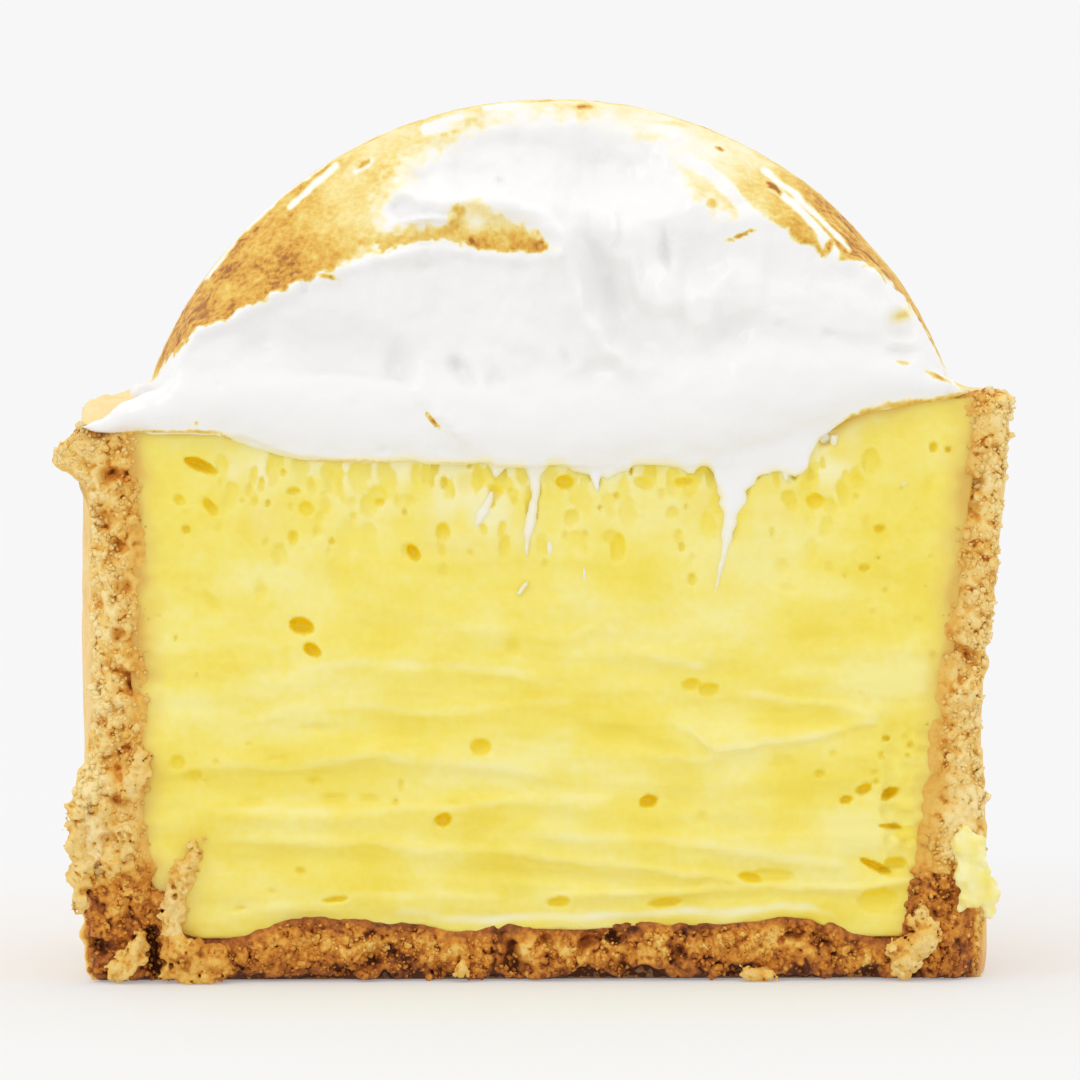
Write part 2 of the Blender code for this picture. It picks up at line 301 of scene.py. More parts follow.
def crumbled(x, z, size, seed=0):
    """Round grains heaped at random, each standing out by its own amount: -0.7 to about 1.3."""
    across, up = np.broadcast_arrays(x / size + 3.7 * seed, z / size)
    column, row = np.floor(across).astype(int), np.floor(up).astype(int)
    height = np.full(across.shape, -0.7)
    for i in (-1, 0, 1):
        for j in (-1, 0, 1):
            key = SHUFFLED[(SHUFFLED[(column + i) & 255] + row + j) & 255]
            away_x = across - (column + i + 0.5 + 0.45 * SLOPES[key, 0])
            away_z = up - (row + j + 0.5 + 0.45 * SLOPES[key, 1])
            reach = 0.35 + 0.45 * (key / 255)
            left = reach - away_x**2 - away_z**2 * (0.8 + 0.5 * SLOPES[key, 1] ** 2)
            grain = 0.55 * SLOPES[key, 2] + np.sqrt(np.clip(left, 0, 1))
            height = np.maximum(height, np.where(left > 0, grain, -0.7))
    return height


def bump(distance, reach):
    """1 at no distance, fading smoothly to about a third at reach."""
    return np.exp(-((distance / reach) ** 2))


def spot(x, z, x0, z0, reach, squash=1.0):
    """A bump round one spot on the cut, squashed upwards where squash is over 1."""
    return bump(np.hypot(x - x0, (z - z0) * squash), reach)


def rise(value, start, length):
    """0 up to start, then straight up to 1 a length further on."""
    return np.clip((value - start) / length, 0, 1)


def fall(value, end, length):
    """1 up to a length before end, then straight down to 0 at end."""
    return np.clip((end - value) / length, 0, 1)


def line(points, x):
    """The height at x of an easy line through (x, height) points, level beyond its ends."""
    xs = np.array([p[0] for p in points], dtype=float)
    heights = np.array([p[1] for p in points], dtype=float)
    x = np.clip(x, xs[0], xs[-1])
    after = np.clip(np.searchsorted(xs, x, side="right"), 1, len(xs) - 1)
    share = (x - xs[after - 1]) / (xs[after] - xs[after - 1])
    share = share * share * (3 - 2 * share)
    return heights[after - 1] + (heights[after] - heights[after - 1]) * share


def lean(z):
    """How far the whole tart leans to the right at height z."""
    return LEAN * np.minimum(z, SHELL_HEIGHT)


def outer_radius(z):
    return SHELL_BASE_RADIUS + (SHELL_TOP_RADIUS - SHELL_BASE_RADIUS) * z / SHELL_HEIGHT


def cut_half_width(radius):
    return np.sqrt(np.maximum(radius**2 - CUT**2, 0.0))


def corner_drop(x, y, z):
    away = np.sqrt((x - CORNER[0]) ** 2 + (y - CORNER[1]) ** 2 + (z - CORNER[2]) ** 2)
    return CORNER_DROP * bump(away, CORNER_REACH)


def grid(x_span, y_span, z_span, cell):
    """Sample lines along a box's sides, and the same ones turned to fill the box."""
    xs, ys, zs = (np.arange(low, high, cell) for low, high in (x_span, y_span, z_span))
    return xs, ys, zs, xs[:, None, None], ys[None, :, None], zs[None, None, :]


def skin(field, xs, ys, zs):
    """The closed surface where field, sampled on the grid xs by ys by zs, passes through 0.

    Inside is below 0. Each cell that the surface crosses gets one point, at the mean of the
    crossings on its edges, and each crossed grid edge gets one four-sided face.
    """
    inside = field < 0
    cells = tuple(n - 1 for n in field.shape)
    count = np.zeros(cells, dtype=np.int8)
    for corner in range(8):
        i, j, k = corner & 1, corner >> 1 & 1, corner >> 2 & 1
        count += inside[i:i + cells[0], j:j + cells[1], k:k + cells[2]]
    crossed = np.argwhere((count > 0) & (count < 8))
    number = np.full(cells, -1, dtype=np.int32)
    number[tuple(crossed.T)] = np.arange(len(crossed))
    total = np.zeros((len(crossed), 3))
    hits = np.zeros(len(crossed))
    for axis in range(3):
        others = [a for a in range(3) if a != axis]
        for offset in range(4):
            start = crossed.copy()
            start[:, others[0]] += offset & 1
            start[:, others[1]] += offset >> 1
            end = start.copy()
            end[:, axis] += 1
            low, high = field[tuple(start.T)], field[tuple(end.T)]
            hit = (low < 0) != (high < 0)
            share = np.where(hit, low / np.where(hit, low - high, 1), 0)
            crossing = start.astype(float)
            crossing[:, axis] += share
            total += crossing * hit[:, None]
            hits += hit
    middles = (total / hits[:, None]).T
    places = [np.interp(m, np.arange(len(g)), g) for m, g in zip(middles, (xs, ys, zs))]
    faces = []
    for axis in range(3):
        u, v = [(1, 2), (2, 0), (0, 1)][axis]
        low = [slice(None)] * 3
        high = [slice(None)] * 3
        low[axis] = slice(0, -1)
        high[axis] = slice(1, None)
        change = inside[tuple(low)] != inside[tuple(high)]
        edge = np.argwhere(change)
        edge = edge[(edge[:, u] > 0) & (edge[:, v] > 0)]
        edge = edge[(edge[:, u] < cells[u]) & (edge[:, v] < cells[v])]
        ring = []
        for du, dv in ((-1, -1), (0, -1), (0, 0), (-1, 0)):
            cell = edge.copy()
            cell[:, u] += du
            cell[:, v] += dv
            ring.append(number[tuple(cell.T)])
        quads = np.stack(ring, 1)
        leaving = inside[tuple(edge.T)]
        quads[~leaving] = quads[~leaving][:, ::-1]
        faces.append(quads)
    return np.stack(places, 1), np.concatenate(faces)


def piece(name, places, faces, material, node=None, slot=None, stored=None):
    """A named mesh piece from places in mm. stored maps a name to a value for each point."""
    mesh = bpy.data.meshes.new(name)
    mesh.from_pydata((np.asarray(places) * MM).tolist(), [], [list(face) for face in faces])
    for key, values in (stored or {}).items():
        layer = mesh.attributes.new(key, "FLOAT", "POINT")
        layer.data.foreach_set("value", np.asarray(values, dtype=np.float32))
    mesh.materials.append(material)
    mesh.shade_smooth()
    made = stand(name, mesh)
    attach(made, "root")
    if node:
        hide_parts(node)


def thinned(places, faces, keep, coarse):
    """The same surface with fewer faces where coarse, a true or false for each point, is true."""
    mesh = bpy.data.meshes.new("thinned")
    mesh.from_pydata(places.tolist(), [], faces.tolist())
    made = stand("thinned", mesh)
    group = made.vertex_groups.new(name="coarse")
    group.add(np.flatnonzero(coarse).tolist(), 1.0, "REPLACE")
    fewer = made.modifiers.new("fewer", "DECIMATE")
    fewer.vertex_group = "coarse"
    fewer.ratio = keep
    evaluated = made.evaluated_get(bpy.context.evaluated_depsgraph_get())
    result = bpy.data.meshes.new_from_object(evaluated)
    places = np.empty(len(result.vertices) * 3)
    result.vertices.foreach_get("co", places)
    faces = [tuple(face.vertices) for face in result.polygons]
    bpy.data.objects.remove(made)
    bpy.data.meshes.remove(mesh)
    bpy.data.meshes.remove(result)
    return places.reshape(-1, 3), faces


def rgb(red, green, blue):
    """A colour as a painter mixes it on a screen, 0 to 255, in the renderer's linear light."""
    parts = (red / 255, green / 255, blue / 255)
    return tuple(p / 12.92 if p <= 0.04045 else ((p + 0.055) / 1.055) ** 2.4 for p in parts)


def short_pastry(name, grain_mm, depth_mm, floured=0.0):
    """Baked short pastry. The mesh's bake goes from 0, pale crumb, to 1, dark crust; it also
    carries painted shade in crevices and gaps.

    Its soaked says where curd has stained it, and floured pales the whole of it.
    """
    pastry = Finish(name, Roughness=0.7, Specular_IOR_Level=0.35)
    bake = pastry.attribute("bake")
    mottle = pastry.noise(2.6, 3.0)
    speck = pastry.noise(0.45, 3.0)
    tone = bake + (mottle - 0.5) * 0.4 + (speck - 0.5) * 0.5
    colour = pastry.ramp(tone, [
        (0.0, rgb(253, 231, 168)), (0.2, rgb(250, 219, 138)), (0.4, rgb(243, 196, 94)),
        (0.6, rgb(225, 150, 50)), (0.8, rgb(178, 102, 38)), (1.0, rgb(100, 50, 20)),
    ])
    soaked = pastry.attribute("soaked")
    colour = pastry.blend(soaked * 0.7, colour, rgb(230, 180, 80))
    colour = pastry.blend(floured, colour, rgb(234, 208, 166))
    height = pastry.noise(grain_mm, 4.0)
    return pastry.show(Base_Color=colour, Normal=pastry.bumps(height, depth_mm))


# World x of the broken pastry's edges at the cut, as (height, x), before ragged crumbs.
LEFT_INSIDE = [
    (0, -30.5), (5, -31.3), (9, -32.4), (12, -33.6), (15, -34.0), (18, -33.2), (24, -33.4),
    (32, -33.2), (50, -33.8),
]
RIGHT_INSIDE = [
    (0, 30.4), (3.4, 30.8), (5.5, 31.3), (8.3, 31.6), (10, 32.6), (15, 33.2), (24, 33.8),
    (32, 34.6), (37, 35.2), (46, 36.0),
]
# The base lies between the walls, this far each way.
BASE_REACH = 30
# Bites out of the underside at the cut: x, half width, height.
NOTCHES = [(3.9, 1.2, 1.3), (8.9, 1.4, 1.4), (-13, 0.6, 0.9), (16.5, 1.3, 0.8)]
# The broken face is a slab of its own: where its deepest crevice and its back lie.
SLAB_CREVICE = CUT + 2.2
SLAB_BACK = CUT + 2.7
SLAB_CELL = 0.168


def left_outside(z):
    """The outer edge on the left: a lip curls out at the top, and a chunk stands out low down."""
    edge = -cut_half_width(outer_radius(z)) + lean(z)
    edge -= 3.0 * bump(z - 44.2, 1.9) + 0.7 * bump(z - 47.0, 1.6)
    return edge - 1.9 * bump(z - 14.0, 4.6) - 1.0 * bump(z - 5.0, 5.0)


def right_outside(z):
    edge = cut_half_width(outer_radius(z)) + lean(z)
    return edge + 0.4 * bump(z - 46.5, 4.0) - 0.9 * bump(z - 23.0, 9.0) + 0.3 * bump(z - 6, 4)


def broken_top(x):
    """The height of the rim at the cut: the left corner has sunk."""
    return SHELL_HEIGHT - 0.1 - corner_drop(x, CUT, SHELL_HEIGHT) * (x < 0)


def wall_depth(x, z):
    """How far into a side wall from the filling each place is, in mm."""
    return np.maximum(line(LEFT_INSIDE, z) - x, x - line(RIGHT_INSIDE, z))


def soaked(x, z):
    """How far the curd has stained the pastry beside it, from 0 to 1."""
    edge = 1.2 - wall_depth(x, z) + 1.0 * rough(x, 0, z, 1.6, 26) + 0.5 * (x > 0)
    corner = 0.5 * spot(x, z, -37.5, 45.5, 3.0)
    return np.maximum(np.clip(edge / 1.8, 0, 1) * rise(z, 8, 3), corner)


def crumb_relief(x, z):
    """The broken face's grains, in mm: each knocked askew, fine among coarse."""
    bent_x = x + 0.30 * rough(x, 0, z, 1.0, 21) + 0.10 * rough(x, 3, z, 0.4, 23)
    bent_z = z + 0.30 * rough(x, 5, z, 1.0, 22) + 0.10 * rough(x, 8, z, 0.4, 24)
    grains = 0.22 * crumbled(bent_x, bent_z, 1.15, 2) + 0.30 * crumbled(bent_x, bent_z, 0.66, 3)
    return grains + 0.20 * crumbled(bent_x, bent_z, 0.40, 4)


def pastry_bake_and_shade(x, y, z):
    """How dark the pastry is at each place."""
    into = wall_depth(x, z)
    foot = rise(11.0 - z, 1.5 * rough(x, 0, z, 3.5, 27), 3.0)
    foot = foot * foot * (3 - 2 * foot)
    # Darker in the bottom 2.2 mm: toasted underside, with painted shade where it meets the table.
    bake = 0.35 + 0.44 * foot + 0.08 * np.clip(1 - z / 2.2, 0, 1)
    bake += (0.12 * bump(into - 0.4, 1.0) - 0.16 * rise(into, 2.4, 2)) * (1 - foot)
    bake -= 0.06 * spot(x, z, -37.4, 13.0, 4.0)
    bake += 0.10 * spot(x, z, -35.3, 41.5, 1.8, 0.5) + 0.08 * bump(z - 18.9, 2.2) * (x < 0)
    under_curd = line(BASE_TOP, x) - z
    pale_layer = bump(under_curd - 2.3, 1.1) * np.clip(0.6 + rough(x, 0, z, 2.4, 31), 0, 1)
    bake += (0.03 * bump(under_curd - 0.5, 0.8) - 0.26 * pale_layer) * (np.abs(x) < BASE_REACH)
    bake -= 0.24 * rise(x, 35.6, 1.6) * fall(z, 9.5, 1) * np.clip(z / 2, 0, 1)
    bake -= 0.02 * (x > 0) * (1 - foot)
    return bake + 0.08 * rough(x, y, z, 4.0, 3)


def cut_outline(x, z, grains):
    """How far inside the broken face's ragged outline each place is, in mm."""
    ragged = 0.38 * rough(x, 0, z, 1.5, 1) + 0.30 * (grains - 0.2)
    outside = np.minimum(x - left_outside(z), right_outside(z) - x)
    outside = np.minimum(outside, broken_top(x) - z)
    outside = np.minimum(outside + ragged, z - 0.02)
    hollow = np.minimum(x - line(LEFT_INSIDE, z), line(RIGHT_INSIDE, z) - x)
    hollow = np.minimum(hollow, z - line(BASE_TOP, x) - 0.08 * rough(x, 0, z, 1.3, 2))
    on_base = (np.abs(x) < BASE_REACH) * fall(z, 7, 1.5)
    return np.minimum(outside, 0.9 - 0.6 * on_base - hollow)


def cut_front(x, z, grains, region):
    """The y of the broken face."""
    on_base = (np.abs(x) < BASE_REACH) * fall(z, 7, 1.5)
    smooth = np.clip(1.4 - np.abs(line(BASE_TOP, x) - z - 0.1), 0, 1) * on_base
    at_curd = np.clip((1.2 - wall_depth(x, z) + 0.4 * rough(x, 0, z, 1.2, 28)) / 0.9, 0, 1)
    at_curd *= rise(z, 8, 2)
    crust = rise(x, 35.5, 0.5) * fall(z, 9.2, 0.8)
    relief = grains * (1 - 0.9 * smooth) * (1 - 0.55 * spot(x, z, -39.6, 45.3, 2.6, 0.8))
    relief = relief + 0.3 * smooth + 0.45 * rough(x, 0, z, 3.6, 6) * (1 - 0.8 * smooth) + 0.2
    relief *= (1 - at_curd) * (1 - 0.85 * crust)
    smooth = np.maximum(smooth, np.maximum(at_curd, crust))
    crevices = np.clip(rough(x, 0, z, 1.9, 12) - 0.22, 0, 0.6) * (1 - 0.8 * smooth)
    grit = 0.7 * np.clip(rough(x, 0, z * 0.6, 1.1, 13) - 0.3, 0, 1) * (1 - smooth)
    relief += 0.55 * at_curd - 1.3 * crust * rise(x, 35.8, 2) ** 2 - 2.6 * crevices + grit
    worn = 0.1 + 1.6 * np.clip(rough(x, 0, z, 2.6, 14), 0, 1) + 1.5 * bump(x + 19.4, 3.0)
    relief -= fall(z, 1.5, 1.5) * on_base * worn
    notches = sum(high * bump(x - middle, half) for middle, half, high in NOTCHES)
    notches = notches + 0.9 * np.clip(rough(x, 0, 0, 1.7, 8) - 0.1, 0, 1)
    crack = x + 32.6 - 0.3 * rough(0, 0, z, 2.0, 4) + 0.15 * (z - 3)
    front = CUT + 0.75 - relief - 1.2 * spot(x, z, -37.2, 13.2, 4.2, 0.8)
    front = front + 2.0 * bump(crack, 0.5) * fall(z, 5.0, 1.0)
    front = front + 1.1 * spot(x, z, -36.2, 18.9, 1.8, 1.2)
    front = front + 2.4 * rise(notches + 0.15, z, 0.5)
    return np.minimum(front + 0.9 * np.exp(-np.clip(region, 0, 9) / 0.28), SLAB_CREVICE)


def cut_bake_and_shade(x, y, z):
    """How dark the broken face is: painted shade darkens its sunk crevices and the gaps low down,
    painted highlight pales the crowns of its grains, and its outside is as the shell's.
    """
    sunk = y - CUT
    tip_highlight = np.clip(crumb_relief(x, z) - 0.30, -0.3, 0.3)
    from_curd = np.abs(line(BASE_TOP, x) - z - 0.1)
    tip_highlight *= 1 - 0.8 * np.clip(1.4 - from_curd, 0, 1) * (np.abs(x) < BASE_REACH)
    # Painted shade and highlight: sunk places darker, the crowns of grains paler.
    bake = pastry_bake_and_shade(x, y, z) + 0.20 * np.clip(sunk, -0.6, 1.8) - 0.50 * tip_highlight
    # Painted shadow: sunk gaps at the foot go dark.
    bake += 0.5 * np.clip(sunk - 0.9, 0, 1) * fall(z, 2.2, 0.6)
    outline = np.minimum(x - left_outside(z), right_outside(z) - x)
    crusted = rise(sunk, 0.7, 0.8) * np.clip(1.2 - outline / 0.5, 0, 1)
    return bake + crusted * (0.30 + 0.10 * rough(x, y, z, 4.0, 6) - bake)


def cut_pastry():
    """The broken face of the pastry, one slab from wall to wall."""
    xs, ys, zs, X, Y, Z = grid((-43.0, 42.0), (CUT - 2.6, CUT + 2.9), (-0.6, 51.6), SLAB_CELL)
    x, z = np.meshgrid(xs, zs, indexing="ij")
    grains = crumb_relief(x, z)
    region = cut_outline(x, z, grains)
    front = cut_front(x, z, grains, region)
    flush = 0.5 * rise(Y - CUT, 0.5, 1.3) * (np.abs(X) > 34)
    inside = np.minimum(region[:, None, :] + flush, Z - 0.02)
    inside = np.minimum(inside, np.minimum(Y - front[:, None, :], SLAB_BACK - Y))
    places, faces = skin(0.06 * rough(X, Y, Z, 0.6, 9) - inside, xs, ys, zs)
    places, faces = thinned(places, faces, 0.72, places[:, 1] > CUT + 1.6)
    px, py, pz = places.T
    piece("pastry_cut_face", places, faces, short_pastry("pastry_crumb", 0.26, 0.16),
          "pastry_shell", "short_pastry", {"bake": cut_bake_and_shade(px, py, pz), "soaked": soaked(px, pz)})
    return xs, zs, region, front


slab_x, slab_z, slab_region, slab_front = cut_pastry()


def rounded(r, z, radius, start):
    """A quarter turn of the shell's profile round (r, z), from start degrees."""
    turns = np.radians(np.linspace(start, start + 90, 4))
    return [(r + radius * math.cos(turn), z + radius * math.sin(turn)) for turn in turns]


def shell_body():
    """The ring-baked shell behind the crumbs, turned and cut, its outside smooth from the ring."""
    inside = outer_radius(SHELL_HEIGHT) - WALL_THICKNESS
    top = SHELL_HEIGHT
    profile = [(0.0, 0.0)]
    profile += [(r, 0.0) for r in np.linspace(4, SHELL_BASE_RADIUS - 1.2, 14)]
    profile += rounded(SHELL_BASE_RADIUS - 0.4, 0.4, 0.4, -90)
    profile += [(outer_radius(z), z) for z in np.linspace(1.2, top - 1.2, 62)]
    profile += rounded(SHELL_TOP_RADIUS - 1, top - 1, 1.0, 0)
    profile += [(r, top) for r in np.linspace(SHELL_TOP_RADIUS - 1.5, inside + 1.3, 4)]
    profile += rounded(inside + 0.8, top - 0.8, 0.8, 90)
    profile += [(inside - 0.02 * (top - z), z) for z in np.linspace(top - 1.4, 6, 20)]
    profile += [(r, BASE_THICKNESS) for r in np.linspace(inside - 2, 0, 5)]
    shape = bmesh.new()
    ring = [shape.verts.new((r, 0, z)) for r, z in profile]
    edges = [shape.edges.new(pair) for pair in zip(ring, ring[1:])]
    bmesh.ops.spin(shape, geom=ring + edges, cent=(0, 0, 0), axis=(0, 0, 1), angle=math.tau,
                   steps=320, use_merge=True)
    bmesh.ops.remove_doubles(shape, verts=shape.verts, dist=0.001)
    bmesh.ops.recalc_face_normals(shape, faces=shape.faces)
    cut = bmesh.ops.bisect_plane(
        shape, geom=shape.verts[:] + shape.edges[:] + shape.faces[:],
        plane_co=(0, SLAB_CREVICE, 0), plane_no=(0, -1, 0), clear_outer=True,
    )
    open_edges = [item for item in cut["geom_cut"] if isinstance(item, bmesh.types.BMEdge)]
    bmesh.ops.contextual_create(shape, geom=open_edges)
    bmesh.ops.triangulate(shape, faces=[face for face in shape.faces if len(face.verts) > 4])
    shape.verts.ensure_lookup_table()
    places = np.array([vert.co[:] for vert in shape.verts])
    faces = [tuple(vert.index for vert in face.verts) for face in shape.faces]
    shape.free()
    x, y, z = places.T
    turn = np.arctan2(y, x)
    radius = np.hypot(x, y)
    near_rim = rise(z / SHELL_HEIGHT, 0.9, 0.1)
    on_wall = (radius > outer_radius(z) - 0.8) & (z > 0.5)
    wave = 0.35 * np.sin(3 * turn + 0.6) + 0.2 * np.sin(7 * turn + 2.0)
    swell = 0.16 * rough(x, y, z, 9.0, 2) + 0.07 * rough(x, y, z, 3.0, 4)
    pits = np.clip(rough(x, y, z, 1.6, 7) - 0.42, 0, 1) * 0.5
    out = on_wall * (swell - pits) + near_rim * 0.22 * rough(x, y, z, 1.4, 5)
    grow = 1 + out / np.maximum(radius, 1)
    drop = corner_drop(x, y, z)
    lip = 2.0 * bump(np.sqrt((x + 39) ** 2 + (y - CUT) ** 2 + (z - 44.5) ** 2), 2.6)
    raised = near_rim * (wave + 0.35 * rough(x, y, 0, 1.8, 6) + 0.25 * rough(x, y, 0, 0.9, 8))
    waist = 1.3 * bump(z - 23.5, 12.0) * np.clip(x / 25, 0, 1)
    places = np.stack([x * grow + lean(z) - lip - waist, y * grow, z + raised - drop], 1)
    bake = 0.27 - 0.20 * near_rim + 0.20 * np.clip(1 - z / 7, 0, 1) + 0.10 * np.clip(x / 30, 0, 1)
    # Painted shade: the cap behind the broken slab, seen only through gaps under it, is made
    # darkest.
    behind_slab = (y < CUT + 2.3) & (radius < outer_radius(z) - 0.6) & (z < SHELL_HEIGHT - 1)
    bake = np.where(behind_slab, 1.0, bake)
    bake += 0.12 * rough(x, y, z, 14.0, 1) + 0.08 * rough(x, y, z, 4.0, 6) + 0.5 * pits
    piece("pastry_shell_body", places, faces, short_pastry("pastry_crust", 0.5, 0.10, 0.3),
          "pastry_shell", "short_pastry", {"bake": bake})


shell_body()

# -------------------------------------------------------------------------- loose pastry crumbs
# Grains that broke off under the knife and stuck to the cut, from sand to small peas of crumb.
# They lie thickest on the walls and hang from the broken edge; few of them stick to wet curd.

# How many, smallest and largest in mm, how round, and whether they hang from the broken edge.
CRUMB_SORTS = [
    (4200, 0.22, 0.55, 1, False), (420, 0.4, 0.85, 2, False), (1300, 0.3, 0.85, 1, True),
]


def little_ball(divisions):
    shape = bmesh.new()
    bmesh.ops.create_icosphere(shape, subdivisions=divisions, radius=0.5)
    places = np.array([vert.co[:] for vert in shape.verts])
    faces = np.array([[vert.index for vert in face.verts] for face in shape.faces])
    shape.free()
    return places, faces


def crumb_mesh(where, sizes, divisions, seed):
    """Uneven crumbs of these sizes at these places, as one mesh."""
    dice = np.random.default_rng(seed)
    ball, ball_faces = little_ball(divisions)
    count = len(where)
    turned = np.linalg.qr(dice.normal(size=(count, 3, 3)))[0]
    turned *= np.sign(np.linalg.det(turned))[:, None, None]
    stretch = dice.uniform(0.5, 1.3, (count, 1, 3))
    dent = 1 + dice.uniform(-0.34, 0.30, (count, len(ball), 1))
    shapes = ball[None] * dent * stretch * sizes[:, None, None]
    shapes = np.einsum("nvi,nij->nvj", shapes, turned) + where[:, None, :]
    faces = ball_faces[None] + (np.arange(count) * len(ball))[:, None, None]
    return shapes.reshape(-1, 3), faces.reshape(-1, 3)


def at_face(x, z):
    """The pastry cut face's y, and how far inside the pastry's outline, at places x, z."""
    i = np.clip(((x - slab_x[0]) / SLAB_CELL).astype(int), 0, len(slab_x) - 1)
    k = np.clip(((z - slab_z[0]) / SLAB_CELL).astype(int), 0, len(slab_z) - 1)
    return slab_front[i, k], slab_region[i, k]


def joined(parts):
    """Meshes, each its places and its faces, as one."""
    starts = np.cumsum([0] + [len(places) for places, _ in parts])
    faces = [corners + start for (_, corners), start in zip(parts, starts)]
    return np.concatenate([places for places, _ in parts]), np.concatenate(faces)


def loose_crumbs():
    dice = np.random.default_rng(7)
    made, stored = [], []
    for wanted, small, large, divisions, edge in CRUMB_SORTS:
        x = dice.uniform(-42.5, 41.5, wanted * 60 if edge else wanted * 8)
        z = dice.uniform(0.1, 50.5, len(x))
        y, inside = at_face(x, z)
        kept = (inside > -0.25) & (rough(x, 0, z, 3.5, 4) > -0.35)
        if edge:
            kept = (np.abs(inside) < 0.35) & (np.abs(x) > 35) & (z > 9)
            kept &= rough(x, 0, z, 2.4, 5) > -0.1
        kept &= (line(BASE_TOP, x) - z > 0.9) | (z > 7) | (np.abs(x) > 31)
        stays = (soaked(x, z) < 0.6) | (dice.random(len(x)) < 0.25)
        kept = np.flatnonzero(kept & stays)[:wanted]
        size = small + (large - small) * dice.random(len(kept)) ** 2.0
        where = np.stack([x[kept], y[kept] - 0.05 * size, np.maximum(z[kept], size * 0.5)], 1)
        made.append(crumb_mesh(where, size, divisions, 11 + divisions))
        each = len(made[-1][0]) // len(kept)
        bake = pastry_bake_and_shade(*where.T) - 0.10 + dice.uniform(-0.16, 0.14, len(kept))
        stored.append(np.repeat([bake, soaked(where[:, 0], where[:, 2])], each, axis=1))
    bake, stained = np.concatenate(stored, axis=1)
    piece("pastry_crumbs", *joined(made), short_pastry("loose_crumb", 0.2, 0.1), None,
          "short_pastry", {"bake": bake, "soaked": stained})


loose_crumbs()

# ---------------------------------------------------------------------------- clumps of pastry
# Lumps of buttery crumb that the knife pushed over the cut and pressed together. Most lie at the
# foot of the walls and under the base, and some are smeared down the left wall.

# How dark each is, and the x, height and radius along it.
CLUMPS = [
    (0.34, [(-28.1, 12.2, 0.1), (-28.7, 11.3, 0.6), (-29.4, 10.0, 0.55), (-30.2, 8.7, 0.8),
     (-30.1, 7.3, 0.6), (-30.7, 5.8, 0.75), (-31.0, 4.4, 0.45)]),
    (0.66, [(-31.0, 3.6, 0.6), (-30.4, 2.6, 1.1), (-29.0, 2.0, 1.2), (-27.4, 2.2, 0.9),
     (-26.6, 1.0, 0.6)]),
    (0.60, [(-31.2, 0.9, 0.6), (-29.6, 0.8, 0.7), (-27.9, 0.7, 0.6)]),
    (0.44, [(-35.9, 0.8, 0.35), (-35.1, 1.6, 0.6), (-34.0, 2.7, 0.85), (-33.5, 3.7, 0.5)]),
    (0.40, [(31.0, 1.7, 1.1), (30.7, 2.6, 0.9), (32.2, 3.0, 0.8), (32.7, 4.2, 1.1),
     (32.2, 5.5, 0.6)]),
    (0.44, [(19.0, 0.6, 0.45), (17.6, 0.5, 0.4)]), (0.44, [(21.4, 1.3, 0.4)]),
    (0.40, [(-6.6, 1.0, 0.4)]),
    (0.36, [(-39.2, 15.3, 0.3), (-38.8, 13.6, 0.7), (-38.9, 11.6, 0.6), (-38.2, 10.2, 0.8),
     (-38.3, 8.0, 0.45), (-38.6, 6.6, 0.15)]),
    (0.38, [(-36.7, 14.8, 0.9), (-35.0, 12.6, 0.9), (-35.9, 10.4, 0.8)]),
    (0.36, [(-33.1, 19.2, 0.45), (-33.5, 17.8, 0.5), (-34.6, 16.3, 0.6)]),
]


def clumps():
    made, bakes = [], []
    for dark, points in CLUMPS:
        middles = np.array(points)[:, :2]
        low, high = middles.min(0) - 2.0, middles.max(0) + 2.0
        xs, ys, zs, X, Y, Z = grid(
            (low[0], high[0]), (CUT - 2.6, CUT + 1.2), (max(low[1], -0.2), high[1]), SLAB_CELL)
        field = np.full((len(xs), len(ys), len(zs)), 9.0)
        chain = list(zip(points, points[1:])) or [(points[0], points[0])]
        for (x0, z0, r0), (x1, z1, r1) in chain:
            length = max((x1 - x0) ** 2 + (z1 - z0) ** 2, 1e-6)
            share = np.clip(((X - x0) * (x1 - x0) + (Z - z0) * (z1 - z0)) / length, 0, 1)
            away = np.sqrt((X - x0 - share * (x1 - x0)) ** 2 + (Z - z0 - share * (z1 - z0)) ** 2
                           + ((Y - CUT + 0.35) * 0.9) ** 2)
            field = np.minimum(field, away - r0 - share * (r1 - r0))
        grain = 0.34 * rough(X, Y, Z, 0.85, 81) + 0.34 * rough(X, Y, Z, 0.42, 82)
        grain += 0.5 * rough(X, Y, Z, 2.0, 83)
        x, z = np.meshgrid(xs, zs, indexing="ij")
        field = field + grain + 0.24 - 0.8 * crumb_relief(x, z)[:, None, :]
        field = np.maximum(field, 0.03 - Z)
        made.append(skin(field.astype(np.float32), xs, ys, zs))
        px, py, pz = made[-1][0].T
        # Painted shade and highlight: sunk parts of each clump darker, the crowns of its grains
        # paler.
        sunk = np.clip(py - CUT + 0.9, -0.4, 2)
        bakes.append(dark + 0.16 * sunk - 0.50 * np.clip(crumb_relief(px, pz) - 0.30, -0.3, 0.3))
    bake = np.concatenate(bakes)
    piece("pastry_clumps", *joined(made), short_pastry("clumped_crumb", 0.24, 0.14), None,
          "short_pastry", {"bake": bake, "soaked": 0.25 + 0 * bake})


clumps()

# =============================================================================== lemon filling
# Lemon curd set with butter, poured into the baked shell and chilled, so it is full of small air
# holes near its top. The knife dragged it sideways into long, level smears.
FILLING_MIDDLE = 43.4
FILLING_DISH = [(0, 43.4), (18.5, 43.4), (24, 44.5), (30, 47.9), (35, 49.0)]
FILLING_LEFT_SHARE = 0.42
CURD_CELL = 0.22
